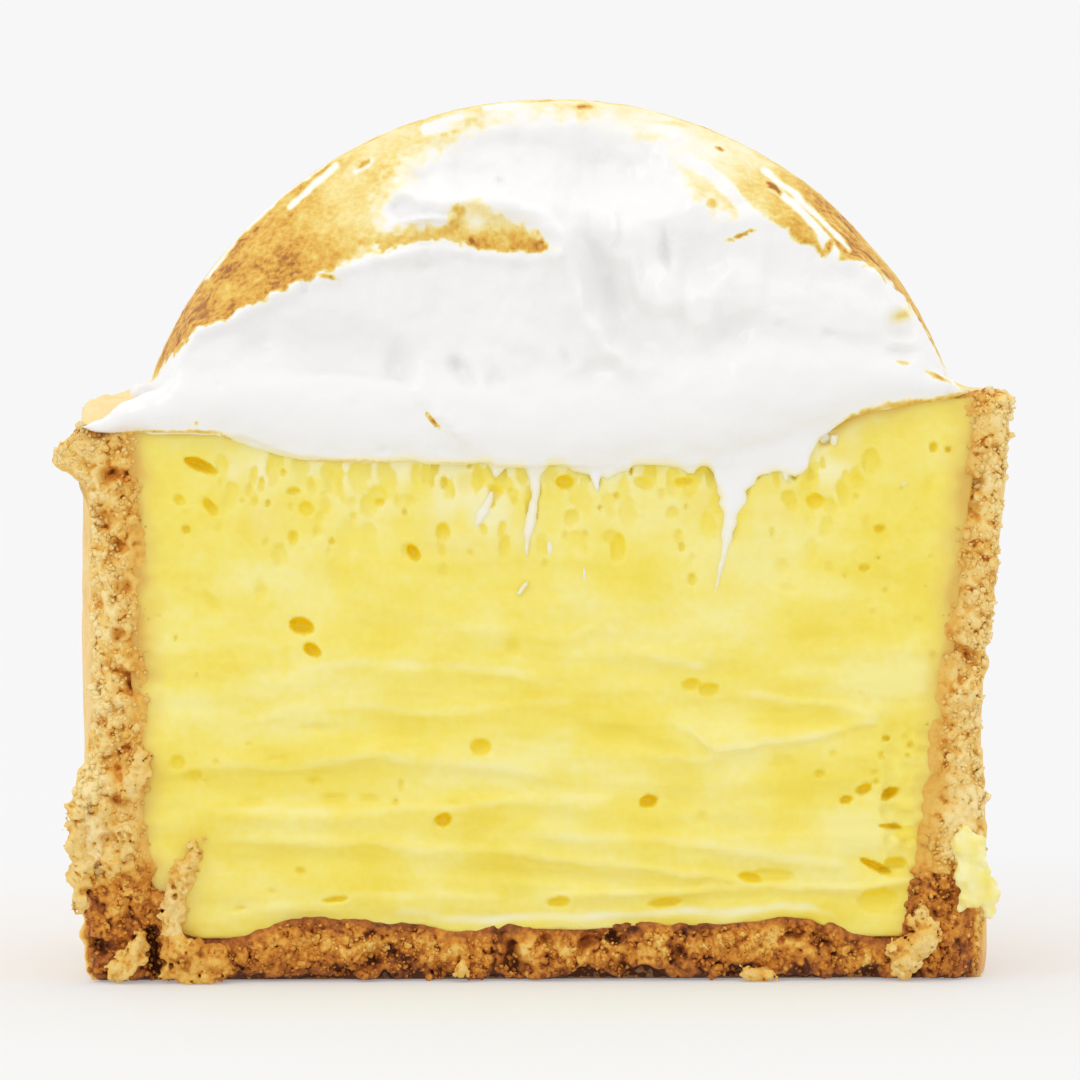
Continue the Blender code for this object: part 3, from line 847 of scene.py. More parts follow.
# Air holes in the cut: x, height, half width, half height, tilt in degrees, depth.
AIR_HOLES = [
    (-28.4, 43.55, 1.55, 0.5, -25, 1.7), (-30.2, 40.7, 0.5, 0.45, -40, 0.7),
    (-27.6, 40.1, 0.95, 0.42, -50, 1.0), (-29.6, 38.2, 0.4, 0.4, 0, 0.9),
    (-21.5, 43.0, 0.25, 0.35, 0, 0.7), (-20.6, 41.4, 0.6, 0.35, 0, 0.8),
    (-20.1, 40.6, 1.25, 1.5, 20, 0.35), (-19.6, 40.0, 0.65, 0.6, 0, 0.8),
    (-20.7, 37.5, 0.42, 0.7, 0, 0.7), (-15.7, 40.5, 0.75, 0.65, 0, 0.5),
    (-13.6, 40.9, 0.85, 1.1, 0, 0.6), (-13.4, 40.5, 0.5, 0.4, 0, 1.2),
    (-11.1, 40.6, 1.1, 0.75, 0, 0.4), (-17.4, 37.2, 0.33, 0.36, 0, 1.2),
    (-16.0, 37.8, 1.5, 1.4, 0, 0.45), (-16.9, 34.2, 1.2, 1.7, 0, 0.4),
    (-10.6, 36.3, 0.82, 0.5, -55, 1.6), (-8.1, 37.9, 0.62, 0.8, 0, 0.8),
    (-8.2, 36.6, 0.4, 1.2, 12, 0.5), (-8.0, 42.1, 0.32, 0.6, 0, 0.8),
    (-6.1, 42.0, 1.0, 1.35, 0, 0.5), (-4.8, 42.2, 0.3, 0.55, 0, 0.6),
    (-3.7, 41.3, 0.6, 0.7, 0, 0.8), (-2.4, 41.5, 0.3, 0.3, 0, 0.7),
    (-27.4, 31.9, 1.6, 0.8, -55, 0.45), (-23.4, 33.1, 0.75, 1.15, 0, 0.45),
    (-19.95, 30.05, 1.1, 0.7, -14, 1.7), (-19.1, 28.05, 0.85, 0.55, -38, 1.4),
    (-2.1, 28.2, 0.85, 0.95, 20, 0.5), (-26.9, 38.2, 0.6, 0.6, 0, 0.3),
    (2.2, 42.15, 0.8, 0.6, 0, 1.1), (6.5, 41.0, 0.38, 0.35, 0, 0.8),
    (8.8, 42.1, 1.0, 0.55, -20, 0.7), (12.3, 42.2, 1.1, 0.35, 4, 0.9),
    (12.4, 40.1, 0.25, 0.4, 0, 0.5), (6.6, 36.7, 0.68, 1.2, 0, 0.7),
    (2.2, 37.6, 0.35, 0.7, 0, 0.5), (3.9, 39.7, 0.6, 0.9, 0, 0.35),
    (12.0, 36.7, 0.3, 0.45, 0, 0.6), (12.9, 34.0, 0.37, 0.55, 0, 0.6),
    (23.3, 40.55, 0.85, 0.72, 0, 1.0), (23.6, 39.7, 1.4, 1.1, 0, 0.3),
    (26.7, 42.4, 0.55, 0.42, 0, 0.7), (26.7, 40.95, 0.3, 0.3, 0, 0.6),
    (28.7, 38.2, 0.5, 0.36, 0, 0.9), (28.9, 37.4, 1.0, 1.15, 0, 0.4),
    (27.4, 34.9, 0.5, 0.3, 0, 0.7), (33.2, 45.1, 0.35, 0.45, 0, 0.8),
    (34.5, 44.9, 0.33, 0.36, 0, 0.7), (32.9, 41.9, 0.85, 1.2, -25, 0.4),
    (24.1, 45.7, 0.5, 0.55, 0, 0.8), (21.3, 43.3, 0.36, 0.33, 0, 0.6),
    (21.5, 42.6, 0.32, 0.3, 0, 0.6), (20.9, 33.2, 0.9, 0.6, 0, 0.3),
    (12.85, 25.1, 0.75, 0.55, 0, 0.75), (14.35, 24.6, 0.85, 0.6, 0, 0.75),
    (-18.7, 21.5, 1.8, 0.5, 0, 0.35), (-4.9, 19.8, 0.85, 0.75, 0, 0.9),
    (-22.1, 18.9, 1.2, 0.3, 0, 0.3), (-30.4, 18.6, 0.65, 0.6, 0, 0.7),
    (-29.0, 17.5, 0.7, 0.5, 0, 0.6), (-19.0, 17.0, 0.85, 0.5, 0, 0.5),
    (-24.1, 15.2, 1.6, 0.5, 0, 0.4), (-17.3, 15.5, 1.6, 0.5, 0, 0.45),
    (-14.3, 15.4, 1.1, 0.5, 0, 0.45), (-12.1, 15.2, 0.3, 0.4, 0, 0.5),
    (-11.6, 16.5, 0.35, 0.8, 0, 0.45), (-8.1, 13.7, 0.78, 0.62, 20, 1.3),
    (-7.2, 15.1, 0.8, 0.25, 0, 0.4), (-20.1, 9.4, 0.5, 0.28, -10, 0.6),
    (-17.2, 7.0, 1.15, 0.28, 8, 0.9), (-25.3, 6.2, 0.9, 0.2, 8, 0.5),
    (-22.5, 7.7, 0.6, 0.25, 0, 0.4), (9.2, 15.2, 0.78, 0.6, 20, 1.4),
    (20.7, 18.5, 1.3, 0.9, 0, 0.4), (23.7, 17.5, 0.45, 0.4, 0, 0.6),
    (13.8, 13.9, 0.6, 0.8, 0, 0.4), (25.95, 15.25, 0.6, 0.36, 18, 1.3),
    (27.5, 16.2, 0.68, 0.45, 22, 1.5), (28.5, 16.85, 0.33, 0.3, 0, 0.6),
    (29.6, 15.75, 0.9, 0.45, 33, 1.7), (29.3, 20.5, 0.42, 0.33, 0, 1.1),
    (28.9, 19.0, 0.28, 0.35, 0, 0.7), (31.4, 19.9, 0.3, 0.3, 0, 0.7),
    (31.2, 19.0, 0.28, 0.25, 0, 0.6), (29.7, 13.0, 1.1, 0.22, -6, 1.1),
    (31.2, 12.3, 0.9, 0.8, 0, 0.6), (28.6, 9.6, 1.6, 0.36, -26, 1.5),
    (30.2, 9.9, 1.0, 0.55, 0, 0.9), (28.7, 6.7, 1.65, 1.1, 0, 0.7),
    (17.8, 8.75, 1.1, 0.38, -10, 1.1), (19.8, 8.95, 2.0, 0.5, -2, 0.6),
    (1.6, 6.75, 1.0, 0.48, 6, 0.9), (10.6, 6.7, 1.45, 0.42, 5, 0.9),
]
# Wide, shallow dishes that the knife left, as above.
DISHES = [
    (-19.8, 16.4, 8.8, 1.5, 0, 0.55), (19.5, 22.4, 8.6, 1.3, -5, 0.5),
    (9.4, 26.3, 4.6, 1.3, -8, 0.4), (-8.0, 21.5, 9.0, 1.3, 0, 0.3), (-21, 10.2, 8.0, 0.9, 0, 0.25),
    (6.5, 20.8, 5.0, 0.9, -12, 0.35), (-2.0, 34.0, 6.0, 1.6, 0, 0.2),
    (15.0, 12.9, 9.0, 0.8, 0, 0.3), (5.0, 8.7, 9.0, 0.6, -4, 0.35),
]
# Crests between the knife's strokes: how far each slopes above and below, height, how strong the
# painted highlight along its top is, then (x, height) along the crest.
STROKES = [
    (1.0, 1.2, 0.35, 0.7, [(-22.9, 25.9), (-17.7, 26.7), (-12.1, 26.9), (-8.4, 26.5), (-2.8, 26.3),
     (1.2, 25.3)]),
    (0.5, 1.2, 0.40, 0.8, [(6.6, 28.4), (8.4, 27.8), (10.6, 27.2), (14.0, 26.5)]),
    (0.4, 0.9, 0.38, 0.6, [(14.5, 24.5), (18.3, 24.1), (24.0, 23.5), (28.2, 22.6)]),
    (0.9, 0.35, 0.50, 0.8, [(9.6, 23.2), (12.5, 21.1), (14.8, 19.6), (17.5, 19.8), (19.4, 20.4),
     (23.6, 20.9), (28.5, 21.9)]),
    (0.5, 0.8, 0.35, 0.6, [(6.8, 19.6), (10.6, 18.8), (13.7, 18.6), (15.8, 19.2)]),
    (1.3, 0.7, 0.55, 0.6, [(-3, 12.5), (4.9, 12.2), (8.8, 12.0), (14.4, 11.5), (18.3, 10.8),
     (22, 10.4), (25.7, 9.9)]),
    (0.5, 0.4, 0.40, 0.5, [(-3, 10.8), (6.8, 9.9), (14.4, 8.9), (17.9, 8.3)]),
    (0.3, 0.7, 0.45, 0.5, [(-1, 7.3), (4.9, 7.5), (11.4, 7.6), (15.4, 8.0), (20, 8.1), (27, 7.9),
     (31.6, 8.5)]),
    (0.9, 0.6, 0.40, 0.6, [(-31, 18.6), (-21, 18.1), (-14, 19.0), (-8, 18.6), (1, 17.6)]),
    (0.5, 1.2, 0.38, 0.6, [(-30, 15.0), (-25, 14.5), (-15, 14.3), (-8, 14.7), (0, 15.5),
     (6, 15.4)]),
    (0.8, 0.6, 0.25, 0.4, [(-29, 12.2), (-15, 11.8), (-8, 11.3), (0, 11.2)]),
    (0.4, 0.9, 0.35, 0.5, [(-26, 6.2), (-22.9, 6.6), (-19.5, 6.8), (-12, 7.3), (-3, 7.1)]),
    (0.6, 0.9, 0.25, 0.5, [(-27, 21.6), (-18, 23.4), (-8, 22.9), (3, 23.8)]),
    (0.7, 0.9, 0.25, 0.4, [(-12, 31.4), (-4, 29.9), (2, 29.2), (8, 31.0)]),
]


def filling_top(x, y):
    """The curd's height: dished, and sunk along with the left corner."""
    away = np.sqrt((x - CORNER[0]) ** 2 + (y - CORNER[1]) ** 2 + (SHELL_HEIGHT - CORNER[2]) ** 2)
    dish = line(FILLING_DISH, np.hypot(x, y)) - FILLING_MIDDLE
    return FILLING_MIDDLE + dish * (1 - (1 - FILLING_LEFT_SHARE) * bump(away, 2 * CORNER_REACH))


def oval(x, z, x0, z0, wide, high, tilt):
    """Distance from an oval's middle, 1 on its edge, and how far up it, -1 to 1."""
    turn = math.radians(tilt)
    across = (x - x0) * math.cos(turn) + (z - z0) * math.sin(turn)
    up = (z - z0) * math.cos(turn) - (x - x0) * math.sin(turn)
    return np.hypot(across / wide, up / high), np.clip((z - z0) / max(high, 0.6 * wide), -1, 1)


def air_holes():
    """The holes above, and the many small ones, most just under the meringue."""
    dice = np.random.default_rng(19)
    small = []
    for _ in range(40):
        x = dice.choice((-1, 1)) * dice.uniform(24, 33) + 0.5
        small.append((x, dice.uniform(14, 42), dice.uniform(0.15, 0.5), dice.uniform(0.15, 0.5), 0,
                      dice.uniform(0.2, 0.5)))
    return AIR_HOLES + small


def foam_cells():
    """Burst bubbles packed under the meringue: x, height, half width, half height, tilt, depth."""
    dice = np.random.default_rng(23)
    cells = []
    for row in range(7):
        for x in np.arange(-26, 29, 1.15 + 0.15 * row):
            if dice.random() < 0.22 + 0.08 * row:
                continue
            wide = 0.22 + 0.62 * dice.random() ** 1.6
            high = wide * (dice.uniform(1.0, 2.2) + 0.8 * (row < 2))
            x0 = x + dice.uniform(-0.8, 0.8)
            z0 = FILLING_MIDDLE - 1.3 * row + dice.uniform(-0.8, 0.6)
            tilt = dice.uniform(-15, 15)
            cells.append((x0, z0, wide, high, tilt, dice.uniform(0.2, 0.5) * (1 - 0.06 * row)))
    return cells


def curd_face(x, z):
    """How far the cut curd lies behind the cut; how much painted shade darkens each hole, burst
    bubble and dish towards golden, most at a hole's upper side; and how pale each place is, from
    the foam's own pale veils and from painted highlight along the crests.
    """
    deep = np.zeros(np.broadcast(x, z).shape)
    gold_shade = np.zeros_like(deep)
    for x0, z0, wide, high, tilt, depth in air_holes():
        reach = 2.2 * max(wide, high)
        depth = min(depth, 0.15 + 1.5 * max(wide, high))
        near = (np.abs(x - x0) < reach) & (np.abs(z - z0) < reach)
        away, up = oval(x[near], z[near], x0, z0, wide, high, tilt)
        away = away + 0.16 * rough(x[near], 3, z[near], 0.9, 31)
        bowl = np.sqrt(np.clip(1 - away**2, 0, 1))
        if depth < 0.55:
            bowl = np.clip(1 - away**2, 0, 1) ** 1.5
        deep[near] = np.maximum(deep[near], 0.75 * depth * bowl)
        # Painted shade: each hole darkens towards golden, most at its upper side.
        shade_in_hole = np.clip(depth - 0.2, 0, 1.2) * np.clip(bowl * 1.6, 0, 1) * (0.75 + 0.4 * up)
        gold_shade[near] = np.maximum(gold_shade[near], shade_in_hole)
    covered = np.zeros_like(deep)
    for x0, z0, wide, high, tilt, depth in foam_cells():
        near = (np.abs(x - x0) < 2 * wide + 0.5) & (np.abs(z - z0) < 2 * high + 0.5)
        away, up = oval(x[near], z[near], x0, z0, wide, high, tilt)
        away = away + 0.3 * rough(x[near], 6, z[near], 0.8, 34)
        bowl = np.clip(1.1 - away**2, 0, 1)
        deep[near] = np.maximum(deep[near], depth * np.sqrt(bowl))
        # Painted shade: each burst bubble darkens towards golden, most at its upper side.
        gold_shade[near] = np.maximum(gold_shade[near], depth * np.sqrt(bowl) * (0.5 + 0.5 * up))
        covered[near] = np.maximum(covered[near], np.clip(bowl * 2.5, 0, 1))
    dished = 0.0
    for x0, z0, wide, high, tilt, depth in DISHES:
        away, _ = oval(x, z + 0.3 * rough(x, 0, 0, 4.0, 32), x0, z0, wide, high, tilt)
        dished = dished + depth / (1 + np.exp(np.clip((away - 0.9) * 4.5, -30, 30)))
    drag = rough(x * 0.12, 0, z, 1.7, 11) * 0.18 + rough(x * 0.16, 2, z, 0.7, 12) * 0.08
    drag *= 0.35 + 0.65 * fall(z, 33, 6)
    drag += 0.35 * rough(x, 0, z, 6.0, 10)
    foam = rise(z - 34.5, 1.5 * rough(x, 0, 0, 5.0, 33), 5) * fall(np.abs(x), 28, 3)
    veil = foam * (1 - covered) * np.clip(0.75 + 0.9 * rough(x, 0, z * 0.7, 2.2, 35), 0, 1)
    crests = 0.0
    near_drips = np.maximum(rise(z, 41.5, 1.5), 0.9 * bump(x + 5.0, 4.5))
    pale = veil * (0.26 + 0.45 * near_drips)
    for above, below, out, white, points in STROKES:
        up = z - line(points, x) + 0.28 * rough(x, 0, 0, 4.0, int(out * 90))
        up = up + 0.08 * rough(x, 0, z, 0.9, 36)
        ends = rise(x, points[0][0], 4) * np.clip((points[-1][0] - x) / 1.2 + 0.5, 0, 1)
        crests = crests + out * ends * np.where(up > 0, bump(up, above), bump(up, below))
        patchy = 0.7 + 0.6 * rough(x, 0, z, 2.5, 37)
        # Painted highlight: a pale line just above each crest.
        pale = np.maximum(pale, 0.5 * white * ends * bump(up - 0.05, 0.45) * patchy)
    broken = rise(x - 28.6, 1.2 * rough(x, 0, z, 2.0, 38), 0.7)
    broken *= fall(z, 23, 3) * rise(z, 8.8, 0.5)
    broken *= 0.45 + 0.5 * rough(x, 0, z, 1.1, 15)
    hollow = deep + dished + broken
    # The second value is painted shade in holes, burst bubbles and the wide dishes.
    return hollow - drag - 0.8 * crests, gold_shade + 0.3 * dished, pale


def lemon_curd():
    curd = Finish("lemon_curd", Roughness=0.4, Specular_IOR_Level=0.4, Subsurface_Weight=0.22,
                  Subsurface_Radius=(1.0, 0.75, 0.25), Subsurface_Scale=0.001)
    deep = curd.attribute("deep")
    pale = curd.attribute("pale")
    tan = curd.attribute("tan")
    cloud = curd.noise(4.5, 3.0, (0.6, 1, 1))
    fine = curd.noise(0.7, 2.0)
    tone = cloud * 0.8 + fine * 0.2
    colour = curd.ramp(tone, [
        (0.34, rgb(245, 224, 82)), (0.48, rgb(248, 231, 110)), (0.66, rgb(250, 238, 150)),
    ])
    # deep carries painted shade: holes, burst bubbles and dishes darken towards deep golden.
    colour = curd.blend(curd.between(deep, 0.0, 0.5), colour, rgb(250, 227, 64))
    colour = curd.blend(curd.between(deep, 0.4, 1.1), colour, rgb(253, 217, 10))
    # pale is the foam's own pale veils and the seal over the base, and painted highlight along the
    # crests.
    colour = curd.blend(curd.between(pale, 0.05, 1.0), colour, rgb(252, 246, 206))
    colour = curd.blend(curd.between(tan, 0.0, 0.5), colour, rgb(236, 208, 100))
    colour = curd.blend(curd.between(tan, 0.45, 1.0), colour, rgb(218, 164, 72))
    shine = curd.between(fine, 0.3, 0.7) * 0.12 + 0.32
    height = curd.noise(0.8, 3.0, (0.35, 1, 1)) * 0.6 + curd.noise(0.18, 2.0) * 0.15
    return curd.show(Base_Color=colour, Roughness=shine, Normal=curd.bumps(height, 0.07))


curd_finish = lemon_curd()


def filling():
    """The curd, cut face and all. Its holes and smears are cut into a fine grid at the front."""
    xs = np.arange(-35.6, 37.0, CURD_CELL)
    zs = np.arange(3.2, 49.9, CURD_CELL)
    fine_ys = np.arange(CUT - 1.8, CUT + 3.0, CURD_CELL)
    ys = np.concatenate([fine_ys, np.arange(CUT + 3.4, 35.6, 1.2)])
    x, z = np.meshgrid(xs, zs, indexing="ij")
    face, _, _ = curd_face(x, z)
    smear = 0.8 * rough(x, 0, z, 3.2, 16) + 0.45 * rough(x, 0, z, 1.1, 17)
    over = 0.6 * rise(z, 8, 3)
    sides = np.minimum(x - line(LEFT_INSIDE, z), line(RIGHT_INSIDE, z) - x)
    sides = sides + over * (1 + 0.6 * smear)
    corner = 0.8 * rise(z, 3.0, 1.5) - 0.8
    sides = np.minimum(sides, line(RIGHT_INSIDE, z) - x + corner + over)
    floor = z - line(BASE_TOP, x) + 0.35
    outline = np.minimum(sides, floor)
    front = CUT + 0.12 + face + 0.22 * np.exp(-np.clip(outline + 0.3 + smear * 0.5, 0, 9) / 0.6)
    X, Y, Z = xs[:, None, None], ys[None, :, None], zs[None, None, :]
    round_wall = outer_radius(Z) - WALL_THICKNESS + 0.3 - np.hypot(X - lean(Z), Y)
    at_cut = rise(CUT + 3.4, Y, 0.8)
    wall = round_wall + at_cut * (outline[:, None, :] + 0.3 - round_wall)
    under_white = 0.75 * at_cut * np.clip((36 - X) / 4, 0.2, 1)
    top = filling_top(X - lean(SHELL_HEIGHT), Y) + 0.12 + under_white - Z
    field = -np.minimum(np.minimum(wall, top), np.minimum(Y - front[:, None, :], Z - 4.7 + at_cut))
    places, faces = skin(field.astype(np.float32), xs, ys, zs)
    places, faces = thinned(places, faces, 0.42, places[:, 1] > CUT + 2.4)
    px, py, pz = places.T
    faced = rise(CUT + 2.6, py, 0.5)
    _, hole, pale = curd_face(px, pz)
    sides = np.minimum(px - line(LEFT_INSIDE, pz), line(RIGHT_INSIDE, pz) - px)
    sides += 0.7 * rough(px, 0, pz, 2.6, 16) + 0.3 * rough(px, 0, pz, 0.9, 18)
    tan = fall(sides, 2.2, 2.8) ** 1.4 * faced
    tan = tan * np.clip((pz - 7) / 3, 0.15, 1) * np.where(px > 0, 0.75, 0.9)
    under_top = filling_top(px - lean(SHELL_HEIGHT), py) + 0.4 - pz
    under_top = under_top + 0.15 * rough(px, 0, 0, 1.4, 21)
    line_high = np.where(px > 0, 0.85, 0.5)
    at_rim = 0.55 * ((px < -24) | (px > 23.5))
    tan = np.maximum(tan, at_rim * np.clip(1.1 - under_top / line_high, 0, 1))
    over_base = pz - line(BASE_TOP, px)
    seal = bump(over_base - 0.45 - 0.3 * rough(px, 0, 0, 5, 20), 0.36)
    seal = seal * rise(px, -13, 4) * fall(px, 26, 4)
    seal *= 0.75 + 0.5 * rough(px, 0, pz, 2.0, 28)
    pale = np.clip(np.maximum(seal * faced, pale * faced), 0, 1) * (1 - np.clip(hole * 1.4, 0, 1))
    # deep stores painted shade in holes and dishes; pale holds painted highlight along the crests
    # besides the seal and veils.
    piece("lemon_filling_curd", places, faces, curd_finish, "lemon_filling", "lemon_curd",
          {"deep": np.clip(hole, 0, 1.2), "pale": pale, "tan": np.clip(tan, 0, 1)})


filling()

# ------------------------------------------------------------------------ curd on the right wall
# A dab of curd that the knife carried onto the broken pastry on the right, low down. Two drips
# hang from its foot.

# The lumps that make it up: x, how far ahead of the cut, height, then half sizes each way.
DABS = [
    (36.4, -0.5, 10.7, 1.6, 0.7, 1.7), (36.8, -0.55, 8.3, 1.6, 0.75, 2.0),
    (35.8, -0.45, 6.7, 0.45, 0.45, 1.0), (37.9, -0.45, 7.0, 0.6, 0.5, 1.4),
    (35.6, -0.4, 11.9, 0.9, 0.45, 0.9),
]


def melted(first, second, ease):
    """Two solids joined with an eased corner between them."""
    share = np.clip(0.5 + 0.5 * (first - second) / ease, 0, 1)
    return first * (1 - share) + second * share - ease * share * (1 - share)


def stray_curd():
    xs, ys, zs, X, Y, Z = grid((33.6, 40.2), (CUT - 2.6, CUT + 1.2), (4.2, 13.6), 0.16)
    wander = 0.30 * rough(X, Y, Z, 1.6, 71) + 0.14 * rough(X, Y, Z, 0.6, 72)
    field = 9.0
    for x, ahead, z, wide, deep, high in DABS:
        away = ((X - x) / wide) ** 2 + ((Y - CUT - ahead) / deep) ** 2 + ((Z - z) / high) ** 2
        field = melted(field, (np.sqrt(away) - 1) * min(wide, deep, high), 0.5)
    places, faces = skin((field + wander).astype(np.float32), xs, ys, zs)
    pale = 0.35 + 0.4 * rough(places[:, 0], 0, places[:, 2], 1.0, 73)
    piece("curd_dab_on_pastry", places, faces, curd_finish, None, "lemon_curd",
          {"pale": np.clip(pale, 0, 1), "deep": 0 * pale, "tan": 0 * pale})


stray_curd()

# ============================================================================ meringue dome
# Italian meringue, spooned on, smoothed to a dome with a spatula and torched. The knife tore it:
# the toasted skin was dragged back, and the soft inside was pulled down over rim and filling.
DOME_RADIUS = 36.6
DOME_MIDDLE = (1.29, 0.0, 38.3)
DOME_CELL = 0.26
# The torn edge of the skin on the cut: (degrees anticlockwise from the right, mm from the middle).
TORN_EDGE = [
    (21.5, 35.7), (28, 35.5), (34.4, 35.2), (37.3, 34.7), (40.7, 33.9), (43.5, 33.0), (47, 32.6),
    (52, 32.0), (56, 31.0), (61, 29.6), (66, 28.8), (72, 27.2), (78, 25.2), (85, 23.6), (90, 23.2),
    (95, 23.0), (100, 23.4), (105, 24.0), (108, 24.8), (112, 25.8), (116, 26.4), (120, 26.8),
    (125, 27.5), (130, 28.4), (134, 29.0), (137.5, 30.0), (141, 30.8), (146, 32.1), (152, 34.3),
    (157, 35.5),
]
# Where torching shows: its inner edge all round, and the upper edge of the low leaf-shaped patch.
TOASTED_EDGE = [
    (14, 36.1), (22, 35.8), (32, 35.4), (37.3, 34.9), (40.7, 34.1), (44, 32.6), (46, 32.0),
    (50.7, 31.4), (54.5, 31.6), (57, 31.4), (59.8, 29.9), (63, 29.4), (67, 29.6), (71, 31.4),
    (74, 33.0), (84, 34.0), (92, 34.2), (98, 34.0), (103, 33.2), (108, 32.6), (111, 31.6),
    (114, 31.0), (117.5, 30.0), (120, 28.6), (122, 27.4), (125, 27.5), (130, 28.4), (134, 29.0),
    (137.5, 30.0), (141, 30.8), (146, 32.1), (152, 34.3), (158, 35.7),
]
PATCH_UPPER = [
    (89.5, 23.3), (93.2, 24.9), (96.5, 26.0), (100.2, 27.2), (103.2, 28.5), (106.5, 28.6),
    (108.5, 27.9), (110, 27.3), (113, 27.9), (117, 28.6), (122, 29.2),
]
TORCHED = [
    (10, 0.60), (25, 0.72), (38, 0.66), (45, 0.74), (52, 0.70), (58, 0.48), (66, 0.32), (75, 0.24),
    (95, 0.24), (108, 0.36), (118, 0.46), (126, 0.62), (138, 0.80), (152, 0.84), (165, 0.66),
]
# White tears through the toasting: half width, then x and height along each.
WHITE_TEARS = [
    (0.50, [(12.6, 69.4), (14.5, 68.3), (16.2, 66.6), (17.4, 65.0), (18.3, 63.6)]),
    (0.26, [(19.9, 67.1), (21.2, 65.9), (22.6, 64.5), (23.9, 62.9), (25.0, 61.2)]),
    (0.50, [(23.9, 62.7), (24.8, 61.4)]),
    (0.18, [(19.2, 68.6), (21.8, 66.4), (24.2, 64.0), (26.2, 61.8)]),
    (0.30, [(-24.7, 63.8), (-21.6, 66.9), (-18.4, 69.1)]), (0.14, [(-21.0, 65.4), (-17.1, 69.0)]),
    (0.22, [(-28.2, 59.6), (-25.6, 63.0), (-22.4, 66.3)]), (0.16, [(-15.5, 68.4), (-14.1, 69.4)]),
    (0.45, [(-9.4, 72.0), (-6.6, 72.7)]), (0.14, [(-4.3, 73.9), (-1.8, 74.2)]),
]
# Scorched spots and slivers of skin: x, height, half width, half height, tilt, how dark.
BROWN_SPOTS = [
    (20.0, 67.0, 0.85, 0.24, -42, 1.2), (15.5, 70.4, 0.3, 0.14, -30, 1.0),
    (4.0, 74.1, 0.8, 0.16, 0, 0.9), (14.6, 65.7, 0.5, 0.35, 0, 0.55),
    (-14.8, 69.1, 0.55, 0.2, 35, 0.9), (-24.0, 63.5, 0.6, 0.3, 40, 0.95),
    (-29.1, 58.3, 0.4, 0.2, 60, 0.95), (-5.6, 62.5, 0.35, 0.35, 20, 1.0),
    (-6.7, 64.9, 0.6, 0.5, 0, 0.6), (-8.9, 47.3, 0.7, 0.14, -50, 0.9),
    (16.9, 62.9, 1.1, 0.12, 22, 0.9), (30.4, 52.2, 0.5, 0.12, -10, 0.5),
    (33.6, 51.0, 0.9, 0.16, -25, 0.7), (-17.7, 59.4, 0.8, 0.16, -15, 0.9),
    (24.4, 62.0, 0.25, 0.7, -25, 0.9), (-31.5, 46.45, 2.6, 0.10, 0, 0.6),
    (-28.0, 46.4, 1.3, 0.14, -4, 0.7), (-26.2, 45.9, 0.8, 0.12, -30, 0.6),
    (27.3, 47.85, 1.9, 0.36, 22, 0.62), (31.2, 48.75, 2.5, 0.34, 6, 0.62),
    (34.3, 49.25, 1.4, 0.26, 12, 0.6), (-17.5, 43.95, 6.0, 0.16, 0, 0.42),
    (-7.0, 43.8, 1.4, 0.10, 0, 0.4), (-28.7, 47.1, 0.16, 0.16, 0, 0.6),
]
RIDGE = [
    (11.5, 50.3), (9.1, 51.2), (7.6, 52.0), (5.9, 53.5), (4.75, 55.2), (3.7, 57.7), (3.0, 60.5),
    (1.8, 62.8), (0.2, 64.6), (-2.0, 65.6), (-6.0, 66.0), (-10.6, 66.3),
]
# Bubbles, pits and scoops, then lumps: x, height, half width, half height, tilt, depth, crispness.
HOLLOWS = [
    (0.4, 68.6, 9.6, 2.9, -6, 1.7, 5), (6.5, 67.6, 4.6, 3.4, -30, 1.0, 5),
    (-7.6, 67.4, 3.4, 1.5, 10, 1.2, 5), (4.9, 59.6, 1.7, 4.8, 14, 1.9, 5),
    (7.6, 56.4, 1.8, 4.6, 26, 1.2, 4), (10.6, 61.6, 0.42, 1.7, 4, 0.9, 6),
    (4.95, 61.6, 0.6, 1.0, 6, 0.4, 5), (13.4, 61.0, 2.4, 1.5, 0, 0.9, 3),
    (16.6, 55.2, 1.4, 1.4, 0, 0.6, 4), (-16.2, 53.0, 5.2, 2.6, -8, 1.9, 4),
    (-23.7, 54.0, 1.0, 1.2, 0, 0.8, 3), (-11.7, 51.8, 1.1, 1.8, 10, 1.1, 4),
    (-11.4, 65.3, 1.0, 0.75, 6, 0.9, 7), (-10.1, 67.5, 0.8, 0.9, 0, 0.6, 6),
    (-3.1, 67.4, 0.4, 0.5, 0, 0.6, 7), (-6.2, 50.8, 2.1, 0.75, -58, 0.7, 6),
    (-7.2, 51.8, 0.75, 0.75, 0, 0.4, 6), (-3.35, 49.7, 0.85, 1.7, 12, 0.7, 6),
    (-27.0, 50.2, 0.4, 0.4, 0, 0.6, 6), (-15.2, 49.1, 0.5, 0.6, 0, 0.5, 6),
    (20.3, 55.4, 0.45, 0.5, 0, 0.3, 5), (24.3, 54.6, 0.4, 0.35, 0, 0.35, 5),
    (30.5, 55.3, 1.2, 1.2, 20, 1.1, 7), (30.4, 52.9, 1.2, 0.7, 0, 0.9, 5),
    (19.8, 47.6, 0.32, 0.4, 0, 0.7, 7), (-9.6, 60.4, 0.6, 0.8, 0, 0.5, 4),
    (2.3, 52.9, 0.9, 0.4, -50, 0.4, 5), (-19.5, 58.7, 0.6, 0.4, 30, 0.6, 6),
    (4.5, 51.4, 3.0, 0.9, 30, 0.6, 4), (-12.9, 44.8, 0.4, 0.25, 0, 0.6, 6),
]
